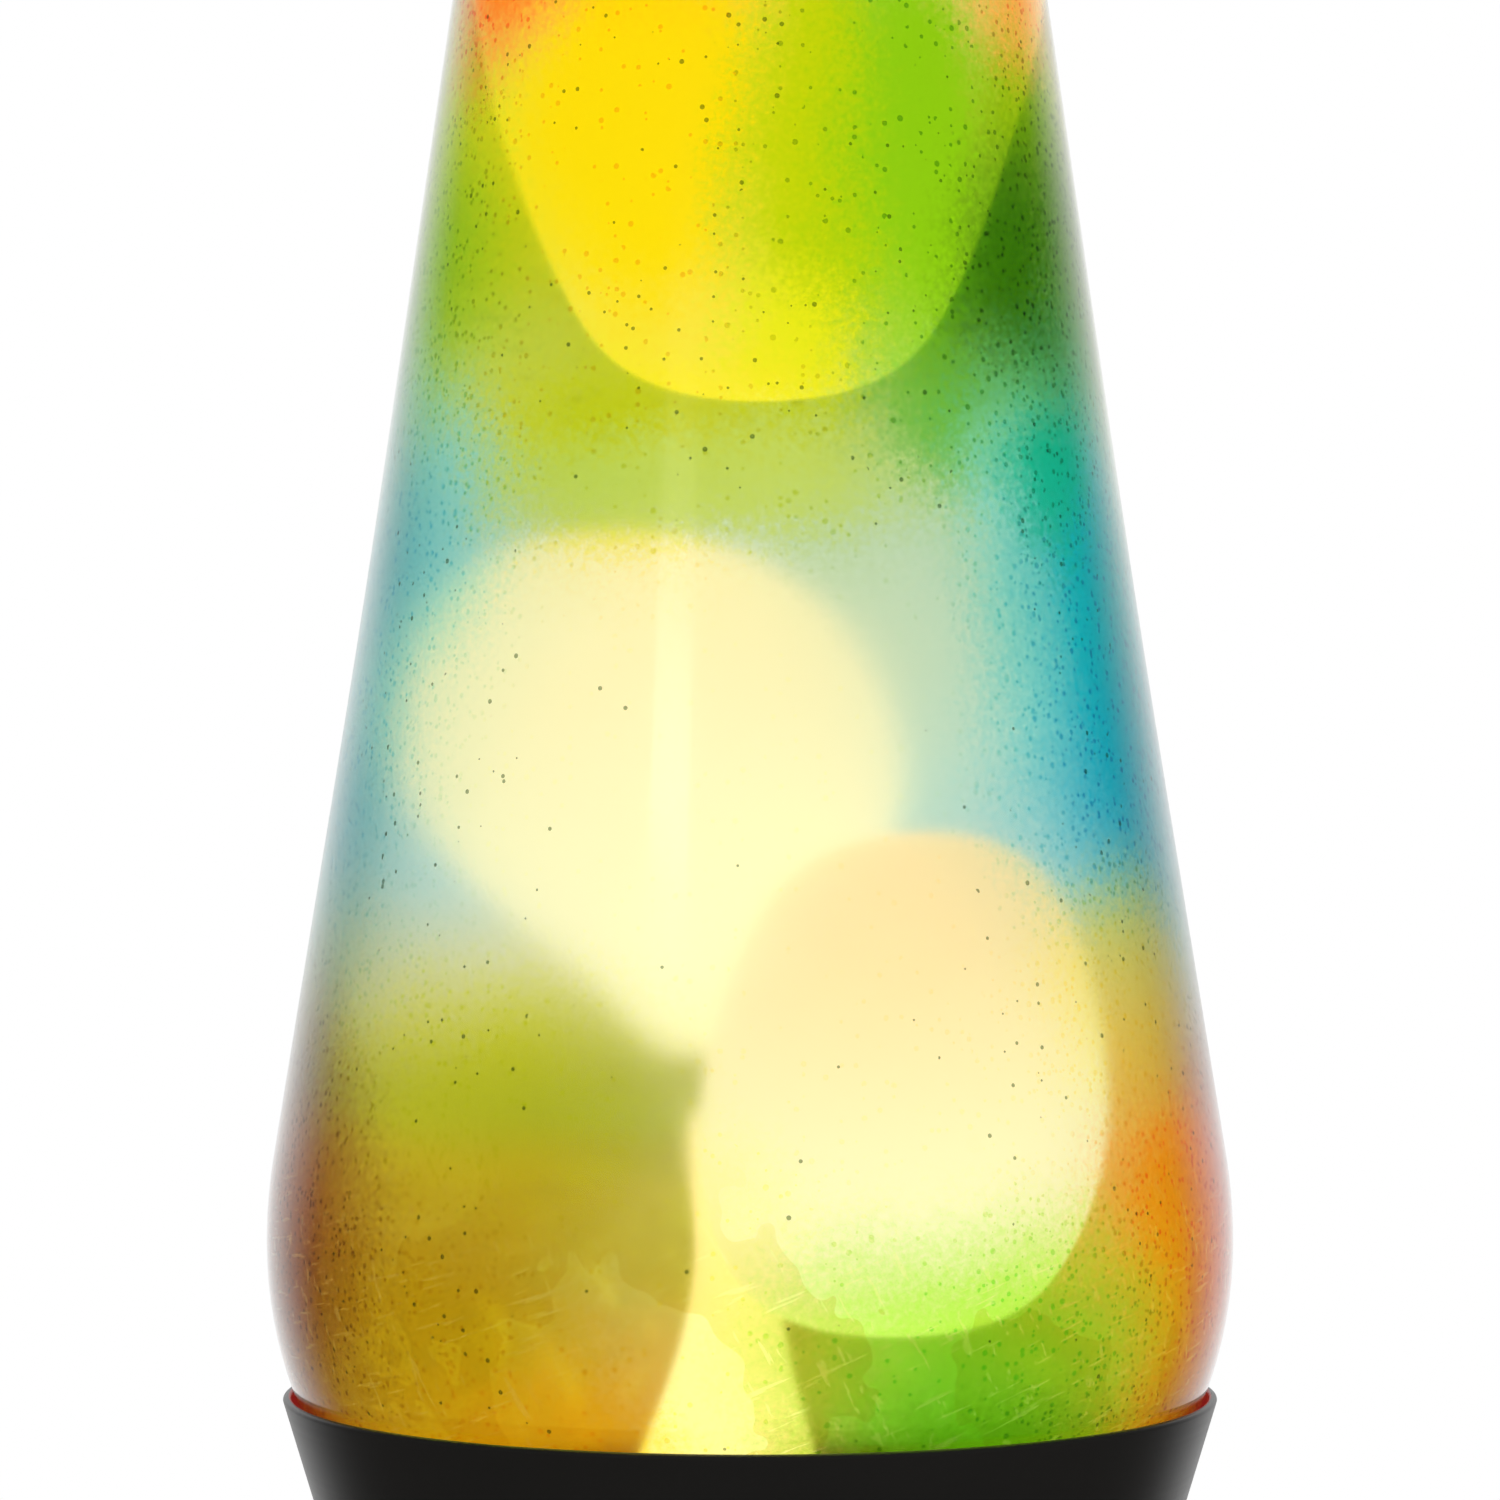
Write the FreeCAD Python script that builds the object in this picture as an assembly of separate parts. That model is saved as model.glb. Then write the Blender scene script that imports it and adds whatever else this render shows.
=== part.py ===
import FreeCAD, Part
import math
import os

from FreeCAD import Vector

# A free-standing lava lamp: an hourglass base of spun aluminium, a painted glass globe of clear
# liquid and white wax that rests in it, and a conical cap that rests on the globe.
# Units are millimetres. Z is up, the origin is on the table under the lamp's centre, and the
# front, where the wax column shows left of the large blob, faces -Y.

# ---- driving dimensions -------------------------------------------------------------------------

TOTAL_HEIGHT = 368.0

# base
BASE_WALL = 0.8
BASE_FOOT_RADIUS = 50.0
BASE_WAIST_RADIUS = 27.9
BASE_RIM_RADIUS = 43.6
BASE_WAIST_Z = 72.0
BASE_RIM_Z = 124.0
BASE_WAIST_ROUNDING = 14.0
BASE_FOOT_ROUNDING = 1.6
BASE_FLANGE_RADIUS = 38.0  # inner edge of the flange turned in at the bottom

# bottom cover and feet
FOOT_HEIGHT = 3.0
FOOT_RADIUS = 5.0
FOOT_CIRCLE = 41.0
COVER_THICKNESS = 1.6
COVER_RADIUS = 47.5
SCREW_CIRCLE = 43.4
FEET = 4
SPIGOT_RADIUS = 2.0
SLOTS = 12
SLOT_LENGTH = 10.0
SLOT_WIDTH = 3.2
NUT_RADIUS = 3.1
NUT_HEIGHT = 2.6
NUT_HOLE_RADIUS = 1.9
SCREW_RADIUS = 1.45
SCREW_HEAD_RADIUS = 2.9
SCREW_HEAD_RECESS = 0.7

# seat of the globe in the base
SEAT_LEDGE_Z = 83.95  # top of the ledge, just under the bottle
SEAT_TOP_Z = 93.0
SEAT_WALL = 0.6
SEAT_HOLE_RADIUS = 19.0  # passes the bulb
SEAT_LIP_Z = 79.5
CUSHION_HEIGHT = 3.4

# globe
GLOBE_RADIUS = 45.0
GLOBE_WIDEST_Z = 138.4
GLOBE_BOTTOM_Z = 84.0
GLOBE_WALL = 2.2
LOWER_TAPER = math.radians(9.41)  # of the long cone's lower part
UPPER_TAPER = math.radians(8.42)  # of the long cone's upper part
TAPER_CHANGE_Z = 199.0
HEEL_TAPER = math.radians(25.0)  # of the short cone inside the base
BELLY_ROUNDING_ABOVE = 50.0
BELLY_ROUNDING_BELOW = 40.0
CONE_ROUNDING = 1800.0
SHOULDER_RADIUS = 16.2  # where the cone ends and the neck begins
SHOULDER_HEIGHT = 3.4
NECK_RADIUS = 12.9
LIP_RADIUS = 13.3
FINISH_TOP_Z = 345.0  # top of the bottle's lip
FILL_Z = 322.0
CROWN_LINER_THICKNESS = 0.8
FLUTES = 21

# cap
CAP_WALL = 0.8
CAP_BOTTOM_Z = 290.0
CAP_TOP_RADIUS = 15.4
CAP_GAP = 0.3  # between the glass and the cap's lower edge

# bulb with a 17 mm screw cap
THREAD_PITCH = 1.8143  # 14 threads an inch
THREAD_DEPTH = 0.5
THREAD_HALF_ROOT = 0.42
THREAD_HALF_CREST = 0.16
BULB_TIP_Z = 12.5
BULB_CAP_TOP_Z = 29.0
BULB_TOP_Z = 70.0
BULB_RADIUS = 17.3
BULB_CORE_RADIUS = 7.75
BULB_CAP_WALL = 0.35
BULB_GLASS_WALL = 0.6
BULB_THREAD_Z = 17.0
BULB_THREAD_TURNS = 4.5
STEM_LOW_Z = 19.9
FILAMENT_Z = 52.0
FILAMENT_RADIUS = 7.0

# lampholder
HOLDER_RADIUS = 13.5
HOLDER_BOTTOM_Z = 8.6
HOLDER_FLOOR_Z = 11.4
HOLDER_TOP_Z = 33.0
HOLDER_BORE_RADIUS = 9.6
HOLDER_THREAD_TURNS = 3.0
HOLDER_RIVET_X = 8.5
TERMINAL_Z = 15.0
BRACKET_THICKNESS = 1.2
BRACKET_WIDTH = 14.0
BRACKET_STEP_X = 19.4
BRACKET_HALF_LENGTH = 27.0
BRACKET_SCREW_X = 23.0
BRACKET_PAD_HEIGHT = 0.6

# cord outlet
OUTLET_Z = 20.0
OUTLET_BORE_RADIUS = 3.3
OUTLET_HOLE_RADIUS = 4.2

# wax and the coil that spreads heat into it
COIL_RADIUS = 16.0
COIL_TUBE_RADIUS = 2.4
POOL_TOP_Z = 100.0
COLUMN_X = -2.0
COLUMN_Y = 7.0
MIDDLE_WAX_Y = 8.0
RIGHT_WAX_Y = -12.5

# clearances
SEAM = 0.05  # between pieces of one body that are shaped to each other
RUNNING_GAP = 0.3  # between curved faces of pieces that move apart

# ---- sizes that follow from those above ---------------------------------------------------------

FLANGE_Z = FOOT_HEIGHT + COVER_THICKNESS  # underside of the base's flange
LOWER_SLOPE = (BASE_FOOT_RADIUS - BASE_WAIST_RADIUS) / (BASE_WAIST_Z - FLANGE_Z)
UPPER_SLOPE = (BASE_RIM_RADIUS - BASE_WAIST_RADIUS) / (BASE_RIM_Z - BASE_WAIST_Z)
PAD_TOP_Z = FLANGE_Z + BRACKET_PAD_HEIGHT
SHELL_BORE_RADIUS = BULB_CORE_RADIUS + THREAD_DEPTH + 0.25
HOLDER_THREAD_Z = BULB_THREAD_Z + THREAD_PITCH / 2  # midway between the turns of the bulb's thread
COIL_Z = GLOBE_BOTTOM_Z + GLOBE_WALL + COIL_TUBE_RADIUS + 0.6

AXIS = Vector(0, 0, 1)
ORIGIN = Vector(0, 0, 0)


# ---- outlines and solids of revolution ----------------------------------------------------------


def at(radius, height):
    """A point of an outline, in the plane through the lamp's axis."""
    return Vector(radius, 0, height)


def turn_at(before, corner, after):
    """The signed angle that a path turns through at a corner, positive to the left."""
    a = corner - before
    b = after - corner
    return math.atan2(a.x * b.z - a.z * b.x, a.x * b.x + a.z * b.z)


def rounded_path(corners, radii):
    """Lines through the corners, each inner corner rounded by the arc of its radius."""
    edges = []
    start = corners[0]
    for before, corner, after, radius in zip(corners, corners[1:], corners[2:], radii):
        half = abs(turn_at(before, corner, after)) / 2
        if radius <= 0 or half < 1e-6:
            stop = middle = leave = corner
        else:
            back = (before - corner).normalize()
            on = (after - corner).normalize()
            stop = corner + back * (radius * math.tan(half))
            leave = corner + on * (radius * math.tan(half))
            middle = corner + (back + on).normalize() * (radius / math.cos(half) - radius)
        if (stop - start).Length > 1e-5:
            edges.append(Part.LineSegment(start, stop).toShape())
        if (leave - stop).Length > 1e-5:
            edges.append(Part.Arc(stop, middle, leave).toShape())
        start = leave
    edges.append(Part.LineSegment(start, corners[-1]).toShape())
    return edges


def moved_left(corners, distance):
    """The same path moved sideways to its left, with its corners where the moved lines meet."""
    lines = []
    for a, b in zip(corners, corners[1:]):
        way = (b - a).normalize()
        lines.append((a + Vector(-way.z, 0, way.x) * distance, way))
    moved = [lines[0][0]]
    for (p, u), (q, v) in zip(lines, lines[1:]):
        cross = u.x * v.z - u.z * v.x
        along = ((q.x - p.x) * v.z - (q.z - p.z) * v.x) / cross
        moved.append(p + u * along)
    _, last_way = lines[-1]
    moved.append(corners[-1] + Vector(-last_way.z, 0, last_way.x) * distance)
    return moved


def moved_radii(corners, radii, distance):
    """The rounding radii of a path moved to its left: less where it turns left, more elsewhere."""
    moved = []
    for before, corner, after, radius in zip(corners, corners[1:], corners[2:], radii):
        side = -1 if turn_at(before, corner, after) > 0 else 1
        moved.append(max(radius + side * distance, 0.2) if radius else 0)
    return moved


def spun(edges):
    """The solid of revolution of a closed outline."""
    face = Part.Face(Part.Wire(Part.sortEdges(edges)[0]))
    solid = face.revolve(ORIGIN, AXIS, 360)
    return solid.Solids[0] if solid.ShapeType != "Solid" else solid


def joined(a, b):
    """The straight edge that closes an outline from one path's end to another's."""
    return Part.LineSegment(a, b).toShape()


def spun_shell(corners, radii, wall):
    """A wall of even thickness, on the left of its outer path."""
    inner = moved_left(corners, wall)
    outside = rounded_path(corners, radii)
    inside = rounded_path(inner, moved_radii(corners, radii, wall))
    ends = [joined(corners[0], inner[0]), joined(corners[-1], inner[-1])]
    return spun(outside + inside + ends)


def spun_filled(corners, radii):
    """Everything between a path and the axis. The path runs upwards or inwards."""
    low = at(0, corners[0].z)
    high = at(0, corners[-1].z)
    ends = [joined(low, high)]
    if corners[0].x > 1e-6:
        ends.append(joined(low, corners[0]))
    if corners[-1].x > 1e-6:
        ends.append(joined(corners[-1], high))
    return spun(rounded_path(corners, radii) + ends)


def spun_polygon(points):
    """The solid of revolution of a closed polygon of radius and height pairs."""
    corners = [at(radius, height) for radius, height in points]
    return spun([joined(a, b) for a, b in zip(corners, corners[1:] + corners[:1])])


def smooth_curve(corners):
    """A smooth curve that starts and ends at the outer corners and is drawn towards the others."""
    curve = Part.BSplineCurve()
    curve.buildFromPoles([at(radius, height) for radius, height in corners], False, 3)
    return curve.toShape()


def spun_drop(corners):
    """A rounded solid of revolution, level where its outline leaves and meets the axis."""
    return spun([smooth_curve(corners), joined(at(*corners[0]), at(*corners[-1]))])


def tube(inner, outer, low, high):
    """A straight ring about the lamp's axis."""
    return spun_polygon([(inner, low), (outer, low), (outer, high), (inner, high)])


def rod(radius, low, high, x=0.0, y=0.0):
    """An upright cylinder."""
    return Part.makeCylinder(radius, high - low, Vector(x, y, low), AXIS)


def block(size, centre_x, centre_y, low):
    """An upright box, centred in X and Y."""
    corner = Vector(centre_x - size[0] / 2, centre_y - size[1] / 2, low)
    return Part.makeBox(*size, corner)


def turned(shape, degrees, centre=ORIGIN, axis=AXIS):
    """A copy turned about an axis."""
    copy = shape.copy()
    copy.rotate(centre, axis, degrees)
    return copy


def shifted(shape, x=0.0, y=0.0, z=0.0):
    """A copy moved by a distance."""
    copy = shape.copy()
    copy.translate(Vector(x, y, z))
    return copy


def ring_of(shape, count, first=0.0):
    """Copies of a shape, evenly spaced round the lamp's axis."""
    return [turned(shape, first + 360.0 * i / count) for i in range(count)]


def fused(shapes):
    """One solid out of several that overlap."""
    return shapes[0].fuse(shapes[1:]).removeSplitter()


def softened(shape, radius, chosen):
    """A copy with the edges that pass the test rounded."""
    return shape.makeFillet(radius, [edge for edge in shape.Edges if chosen(edge)])


def is_level_circle(edge, height, within=0.02):
    """True for a whole level circle near that height."""
    box = edge.BoundBox
    return abs(box.ZMin - height) < within and box.ZLength < 0.02 and len(edge.Vertexes) == 1


# ---- base ---------------------------------------------------------------------------------------

def upper_cone_inside(height):
    """The inner radius of the base's upper cone at a height."""
    outer = BASE_RIM_RADIUS - UPPER_SLOPE * (BASE_RIM_Z - height)
    return outer - BASE_WALL / math.cos(math.atan(UPPER_SLOPE))


def outlet_frame(shape):
    """Carries a shape made along +Z from the outlet's centre to the back of the lower cone,
    square to the wall there."""
    lean = math.degrees(math.atan(LOWER_SLOPE))
    radius = BASE_FOOT_RADIUS - LOWER_SLOPE * (OUTLET_Z - FLANGE_Z)
    copy = turned(shape, -(90 - lean), ORIGIN, Vector(1, 0, 0))
    return shifted(copy, 0, radius, OUTLET_Z)


def base_shell():
    """Spun hourglass with a flange turned in at the bottom and a rounded rim."""
    corners = [
        at(BASE_FLANGE_RADIUS, FLANGE_Z),
        at(BASE_FOOT_RADIUS, FLANGE_Z),
        at(BASE_WAIST_RADIUS, BASE_WAIST_Z),
        at(BASE_RIM_RADIUS, BASE_RIM_Z),
    ]
    shell = spun_shell(corners, [BASE_FOOT_ROUNDING, BASE_WAIST_ROUNDING], BASE_WALL)
    shell = softened(shell, 0.3, lambda edge: is_level_circle(edge, BASE_RIM_Z, 1.0))
    shell = shell.cut(outlet_frame(rod(OUTLET_HOLE_RADIUS, -6, 6)))
    holes = ring_of(rod(NUT_HOLE_RADIUS, FLANGE_Z - 1, FLANGE_Z + 2, SCREW_CIRCLE), FEET)
    return shell.cut(Part.makeCompound(holes))


def cord_grommet():
    """Rubber bush that lines the cord outlet, gripping the wall between two flanges."""
    inside = BASE_WALL + 0.45  # the curved wall comes nearer to the inner flange at its sides
    points = [
        (OUTLET_BORE_RADIUS, -inside - 2.2),
        (5.2, -inside - 2.2),
        (6.2, -inside - 1.2),
        (6.2, -inside),
        (OUTLET_HOLE_RADIUS - SEAM, -inside),
        (OUTLET_HOLE_RADIUS - SEAM, SEAM),
        (6.4, SEAM),
        (6.4, 1.0),
        (5.0, 2.4),
        (OUTLET_BORE_RADIUS, 2.4),
    ]
    return outlet_frame(spun_polygon(points))


# ---- bottom cover, its fasteners and the feet ---------------------------------------------------

def bottom_cover():
    """Moulded plate with a locating rim, cooling slots and a recess over each screw head."""
    low = FOOT_HEIGHT
    high = FLANGE_Z
    plate = softened(rod(COVER_RADIUS, low, high), 0.6, lambda edge: is_level_circle(edge, low))
    rim = tube(BASE_FLANGE_RADIUS - 2.0, BASE_FLANGE_RADIUS - 0.3, high - 0.4, high + 3.4)
    pads = [rod(5.0, high - 0.4, PAD_TOP_Z, x) for x in (-BRACKET_SCREW_X, BRACKET_SCREW_X)]
    plate = fused([plate, rim] + pads)
    slot = block((SLOT_LENGTH, SLOT_WIDTH, 6.0), 29.5, 0.0, low - 2)
    slot = softened(slot, SLOT_WIDTH / 2 - 0.05, lambda edge: edge.BoundBox.ZLength > 5)
    slots = [turned(slot, 360.0 * i / SLOTS) for i in range(SLOTS) if i % (SLOTS // 2) != 0]
    screw_holes = ring_of(rod(SCREW_RADIUS + 0.15, low - 1, high + 1, SCREW_CIRCLE), FEET)
    recess = rod(SCREW_HEAD_RADIUS + 0.2, low - 1, low + SCREW_HEAD_RECESS, SCREW_CIRCLE)
    heads = ring_of(recess, FEET)
    spigots = ring_of(rod(SPIGOT_RADIUS, low - 1, high + 1, FOOT_CIRCLE), FEET, 45.0)
    posts = [
        rod(SCREW_RADIUS - 0.15, low + 0.6, high + 1, x)
        for x in (-BRACKET_SCREW_X, BRACKET_SCREW_X)
    ]
    return plate.cut(Part.makeCompound(slots + screw_holes + heads + spigots + posts))


def rubber_foot():
    """Round foot with a bevelled edge and a spigot pressed into the cover, at angle zero."""
    points = [
        (0, 0),
        (FOOT_RADIUS - 0.7, 0),
        (FOOT_RADIUS, 0.7),
        (FOOT_RADIUS, FOOT_HEIGHT),
        (SPIGOT_RADIUS - SEAM, FOOT_HEIGHT),
        (SPIGOT_RADIUS - SEAM, FLANGE_Z - 0.2),
        (0, FLANGE_Z - 0.2),
    ]
    return shifted(spun_polygon(points), FOOT_CIRCLE)


def pan_screw(radius, head_radius, head_height, length):
    """A pan-head screw pointing up from its head's seat at z = 0, with a cross slot."""
    head = softened(
        rod(head_radius, -head_height, 0),
        head_height * 0.45,
        lambda edge: is_level_circle(edge, -head_height),
    )
    screw = fused([head, rod(radius, -0.2, length)])
    arm = block((head_radius * 1.2, 0.6, 0.8), 0, 0, -head_height - 0.2)
    return screw.cut(Part.makeCompound([arm, turned(arm, 90)]))


def cover_screws():
    """The screws that hold the cover under the base's flange."""
    screw = pan_screw(SCREW_RADIUS, SCREW_HEAD_RADIUS, 1.3, 5.0)
    seat = FOOT_HEIGHT + SCREW_HEAD_RECESS
    return Part.makeCompound(ring_of(shifted(screw, SCREW_CIRCLE, 0, seat), FEET))


def cover_nuts():
    """Clinch nuts pressed into the base's flange."""
    low = FLANGE_Z + BASE_WALL
    nut = fused(
        [
            rod(NUT_RADIUS, low, low + NUT_HEIGHT, SCREW_CIRCLE),
            rod(NUT_HOLE_RADIUS - SEAM, FLANGE_Z + 0.05, low + 0.2, SCREW_CIRCLE),
        ]
    )
    nut = nut.cut(rod(SCREW_RADIUS + 0.05, low - 2, low + NUT_HEIGHT + 1, SCREW_CIRCLE))
    return Part.makeCompound(ring_of(nut, FEET))


# ---- lampholder ---------------------------------------------------------------------------------

def holder_bracket():
    """Steel strap bent like a hat, screwed to the cover at its ends, with the lampholder on top."""
    top = HOLDER_BOTTOM_Z
    step_in = BRACKET_STEP_X - BRACKET_THICKNESS / 2
    step_out = BRACKET_STEP_X + BRACKET_THICKNESS / 2
    sheet = BRACKET_THICKNESS
    pieces = [block((2 * step_out, BRACKET_WIDTH, sheet), 0, 0, top - sheet)]
    for side in (-1, 1):
        riser = (sheet, BRACKET_WIDTH, top - PAD_TOP_Z)
        pieces.append(block(riser, side * BRACKET_STEP_X, 0, PAD_TOP_Z))
        end = (BRACKET_HALF_LENGTH - step_in, BRACKET_WIDTH, sheet)
        pieces.append(block(end, side * (BRACKET_HALF_LENGTH + step_in) / 2, 0, PAD_TOP_Z))
    strap = fused(pieces)
    holes = [rod(SCREW_RADIUS + 0.15, 0, top + 1, side * BRACKET_SCREW_X) for side in (-1, 1)]
    holes += [rod(1.4, 0, top + 1, side * HOLDER_RIVET_X) for side in (-1, 1)]
    return strap.cut(Part.makeCompound(holes))


def bracket_screws():
    """Two screws through the bracket's ends into the cover."""
    screw = pan_screw(SCREW_RADIUS - 0.2, SCREW_HEAD_RADIUS, 1.4, 2.8)
    screw = turned(screw, 180, ORIGIN, Vector(1, 0, 0))
    seat = PAD_TOP_Z + BRACKET_THICKNESS
    places = (-BRACKET_SCREW_X, BRACKET_SCREW_X)
    return Part.makeCompound([shifted(screw, x, 0, seat) for x in places])


def lampholder_body():
    """Phenolic cup with a stepped outside, a floor for the contact and two terminal pockets."""
    low = HOLDER_BOTTOM_Z
    bore = HOLDER_BORE_RADIUS
    body = spun_polygon(
        [
            (0, low),
            (HOLDER_RADIUS, low),
            (HOLDER_RADIUS, low + 11.0),
            (HOLDER_RADIUS - 1.2, low + 12.2),
            (HOLDER_RADIUS - 1.2, HOLDER_TOP_Z - 0.8),
            (HOLDER_RADIUS - 2.0, HOLDER_TOP_Z),
            (bore + 0.4, HOLDER_TOP_Z),
            (bore, HOLDER_TOP_Z - 0.4),
            (bore, HOLDER_FLOOR_Z),
            (0, HOLDER_FLOOR_Z),
        ]
    )
    cuts = []
    for side in (-1, 1):
        inwards = Vector(0, -side, 0)
        pocket_mouth = Vector(0, side * (HOLDER_RADIUS + 1.6), TERMINAL_Z)
        screw_mouth = Vector(0, side * (HOLDER_RADIUS - 1), TERMINAL_Z)
        cuts.append(Part.makeCylinder(3.4, 4.0, pocket_mouth, inwards))
        cuts.append(Part.makeCylinder(1.5, 4.0, screw_mouth, inwards))
        cuts.append(rod(1.3, low - 1, low + 2.0, side * HOLDER_RIVET_X))
    return body.cut(Part.makeCompound(cuts))


def terminal_screws():
    """Two brass terminal screws in the lampholder's side pockets."""
    screw = pan_screw(1.35, 2.7, 1.3, 1.5)
    screws = []
    for side in (-1, 1):
        copy = turned(screw, side * 90, ORIGIN, Vector(1, 0, 0))
        screws.append(shifted(copy, 0, side * (HOLDER_RADIUS - 2.4 + SEAM), TERMINAL_Z))
    return Part.makeCompound(screws)


def holder_rivets():
    """Two tubular rivets that fix the lampholder to the bracket."""
    rivet = spun_polygon(
        [
            (0.5, HOLDER_BOTTOM_Z - BRACKET_THICKNESS - 0.7),
            (2.3, HOLDER_BOTTOM_Z - BRACKET_THICKNESS - 0.7),
            (2.3, HOLDER_BOTTOM_Z - BRACKET_THICKNESS),
            (1.25, HOLDER_BOTTOM_Z - BRACKET_THICKNESS),
            (1.25, HOLDER_BOTTOM_Z + 1.8),
            (0.5, HOLDER_BOTTOM_Z + 1.8),
        ]
    )
    return Part.makeCompound([shifted(rivet, x) for x in (-HOLDER_RIVET_X, HOLDER_RIVET_X)])


def helical_ridge(radius, depth, low, turns):
    """A screw thread that stands out from a cylinder, or inwards if its depth is negative."""
    helix = Part.makeHelix(THREAD_PITCH, THREAD_PITCH * turns, radius)
    sunk = radius - math.copysign(0.12, depth)
    corners = [
        at(sunk, -THREAD_HALF_ROOT),
        at(radius + depth, -THREAD_HALF_CREST),
        at(radius + depth, THREAD_HALF_CREST),
        at(sunk, THREAD_HALF_ROOT),
    ]
    outline = [joined(a, b) for a, b in zip(corners, corners[1:] + corners[:1])]
    ridge = Part.Wire(helix).makePipeShell([Part.Wire(outline)], True, True)
    return shifted(ridge, 0, 0, low)


def lampholder_shell():
    """Brass screw shell with the thread that the bulb turns in."""
    low = HOLDER_FLOOR_Z + 3.4
    high = HOLDER_TOP_Z - 2.4
    ring = tube(SHELL_BORE_RADIUS, HOLDER_BORE_RADIUS - SEAM, low, high)
    ridge = helical_ridge(SHELL_BORE_RADIUS, -THREAD_DEPTH, HOLDER_THREAD_Z, HOLDER_THREAD_TURNS)
    return ring.fuse(ridge)


def lampholder_contact():
    """Springy centre contact: a strip riveted to the floor that rises to meet the bulb's tip."""
    thickness = 0.4
    reach = BULB_TIP_Z - 0.05 - thickness
    floor_z = HOLDER_FLOOR_Z
    line = [(-7.0, floor_z), (-3.4, floor_z), (-0.8, reach), (1.6, reach), (2.6, reach - 0.5)]
    upper = [Vector(x, -2.2, z + thickness) for x, z in line]
    lower = [Vector(x, -2.2, z) for x, z in reversed(line)]
    outline = Part.makePolygon(upper + lower + upper[:1])
    strip = Part.Face(outline).extrude(Vector(0, 4.4, 0))
    rivet = rod(1.2, HOLDER_FLOOR_Z + 0.2, HOLDER_FLOOR_Z + thickness + 0.5, -5.4)
    return fused([strip, rivet])


# ---- bulb ---------------------------------------------------------------------------------------

def bulb_contact():
    """Solder tip under the bulb, a low dome."""
    low = BULB_TIP_Z
    high = low + 1.2
    return spun_polygon([(0, low), (1.4, low + 0.15), (2.2, low + 0.7), (2.2, high), (0, high)])


def bulb_insulator():
    """Black glass cone between the solder tip and the screw cap."""
    low = BULB_TIP_Z + 1.2
    high = low + 3.2
    wide = BULB_CORE_RADIUS - 1.0
    return spun_polygon([(0, low), (3.4, low), (wide, low + 2.2), (wide, high), (0, high)])


def bulb_cap():
    """Brass screw cap with its rolled thread and a turned-in lower edge."""
    low = BULB_TIP_Z + 1.2 + 1.4
    wall = BULB_CAP_WALL
    radius = BULB_CORE_RADIUS
    ring = spun_polygon(
        [
            (radius - 1.0 + SEAM, low + 0.8),
            (radius - 0.5, low + 0.8),
            (radius, low + 1.6),
            (radius, BULB_CAP_TOP_Z - 1.2),
            (radius + 0.35, BULB_CAP_TOP_Z),
            (radius + 0.35 - wall, BULB_CAP_TOP_Z),
            (radius - wall, BULB_CAP_TOP_Z - 1.2),
            (radius - wall, low + 2.0),
            (radius - 1.0 + SEAM, low + 1.4),
        ]
    )
    ridge = helical_ridge(radius, THREAD_DEPTH, BULB_THREAD_Z, BULB_THREAD_TURNS)
    return ring.fuse(ridge)


def bulb_envelope():
    """Clear glass, a straight-sided pear with a domed top."""
    neck = BULB_CORE_RADIUS - BULB_CAP_WALL - 0.15
    corners = [
        at(neck, BULB_TIP_Z + 7.0),
        at(neck, BULB_CAP_TOP_Z + 2.0),
        at(BULB_RADIUS, BULB_TOP_Z - 21.0),
        at(BULB_RADIUS, BULB_TOP_Z),
        at(0, BULB_TOP_Z),
    ]
    return spun_shell(corners, [6.0, 9.0, 16.6], BULB_GLASS_WALL)


def bulb_stem():
    """Glass mount sealed into the bulb's neck, with the rod that carries the filament supports."""
    low = STEM_LOW_Z
    return spun_polygon(
        [
            (0, low),
            (6.0, low),
            (6.0, low + 0.8),
            (2.4, low + 6.0),
            (1.5, low + 9.0),
            (1.5, low + 21.0),
            (2.1, low + 21.6),
            (2.1, low + 23.2),
            (0, low + 23.8),
        ]
    )


def bent_wire(points, radius):
    """A wire through the points, with a ball at each bend."""
    pieces = []
    for a, b in zip(points, points[1:]):
        pieces.append(Part.makeCylinder(radius, (b - a).Length, a, b - a))
    for p in points[1:-1]:
        pieces.append(Part.makeSphere(radius, p))
    return fused(pieces)


def bulb_leads():
    """Two lead-in wires from the stem to the filament's ends, and two supports under its coil."""
    wires = []
    for side in (-1, 1):
        points = [
            Vector(side * 2.9, 0, STEM_LOW_Z + 6.1),
            Vector(side * 2.9, 0, STEM_LOW_Z + 22.0),
            Vector(side * FILAMENT_RADIUS, 0, FILAMENT_Z - 0.6),
        ]
        wires.append(bent_wire(points, 0.35))
    for degrees in (60, 120):
        way = Vector(math.cos(math.radians(degrees)), math.sin(math.radians(degrees)), 0)
        points = [
            way * 2.3 + AXIS * (STEM_LOW_Z + 22.6),
            way * 4.0 + AXIS * (STEM_LOW_Z + 23.0),
            way * FILAMENT_RADIUS + AXIS * (FILAMENT_Z - 0.75),
        ]
        wires.append(bent_wire(points, 0.18))
    return Part.makeCompound(wires)


def bulb_filament():
    """Coiled tungsten filament, drawn as the tube it fills, in a half ring between the leads."""
    centre = Vector(0, 0, FILAMENT_Z)
    return Part.makeTorus(FILAMENT_RADIUS, 0.45, centre, AXIS, -180, 180, 180)


# ---- seat of the globe --------------------------------------------------------------------------


def heel_cone(height):
    """The outer radius of the globe's lower cone at a height."""
    lean = HEEL_TAPER
    start_z = GLOBE_WIDEST_Z - BELLY_ROUNDING_BELOW * math.sin(lean)
    start_radius = GLOBE_RADIUS - BELLY_ROUNDING_BELOW * (1 - math.cos(lean))
    return start_radius - (start_z - height) * math.tan(lean)


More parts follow.
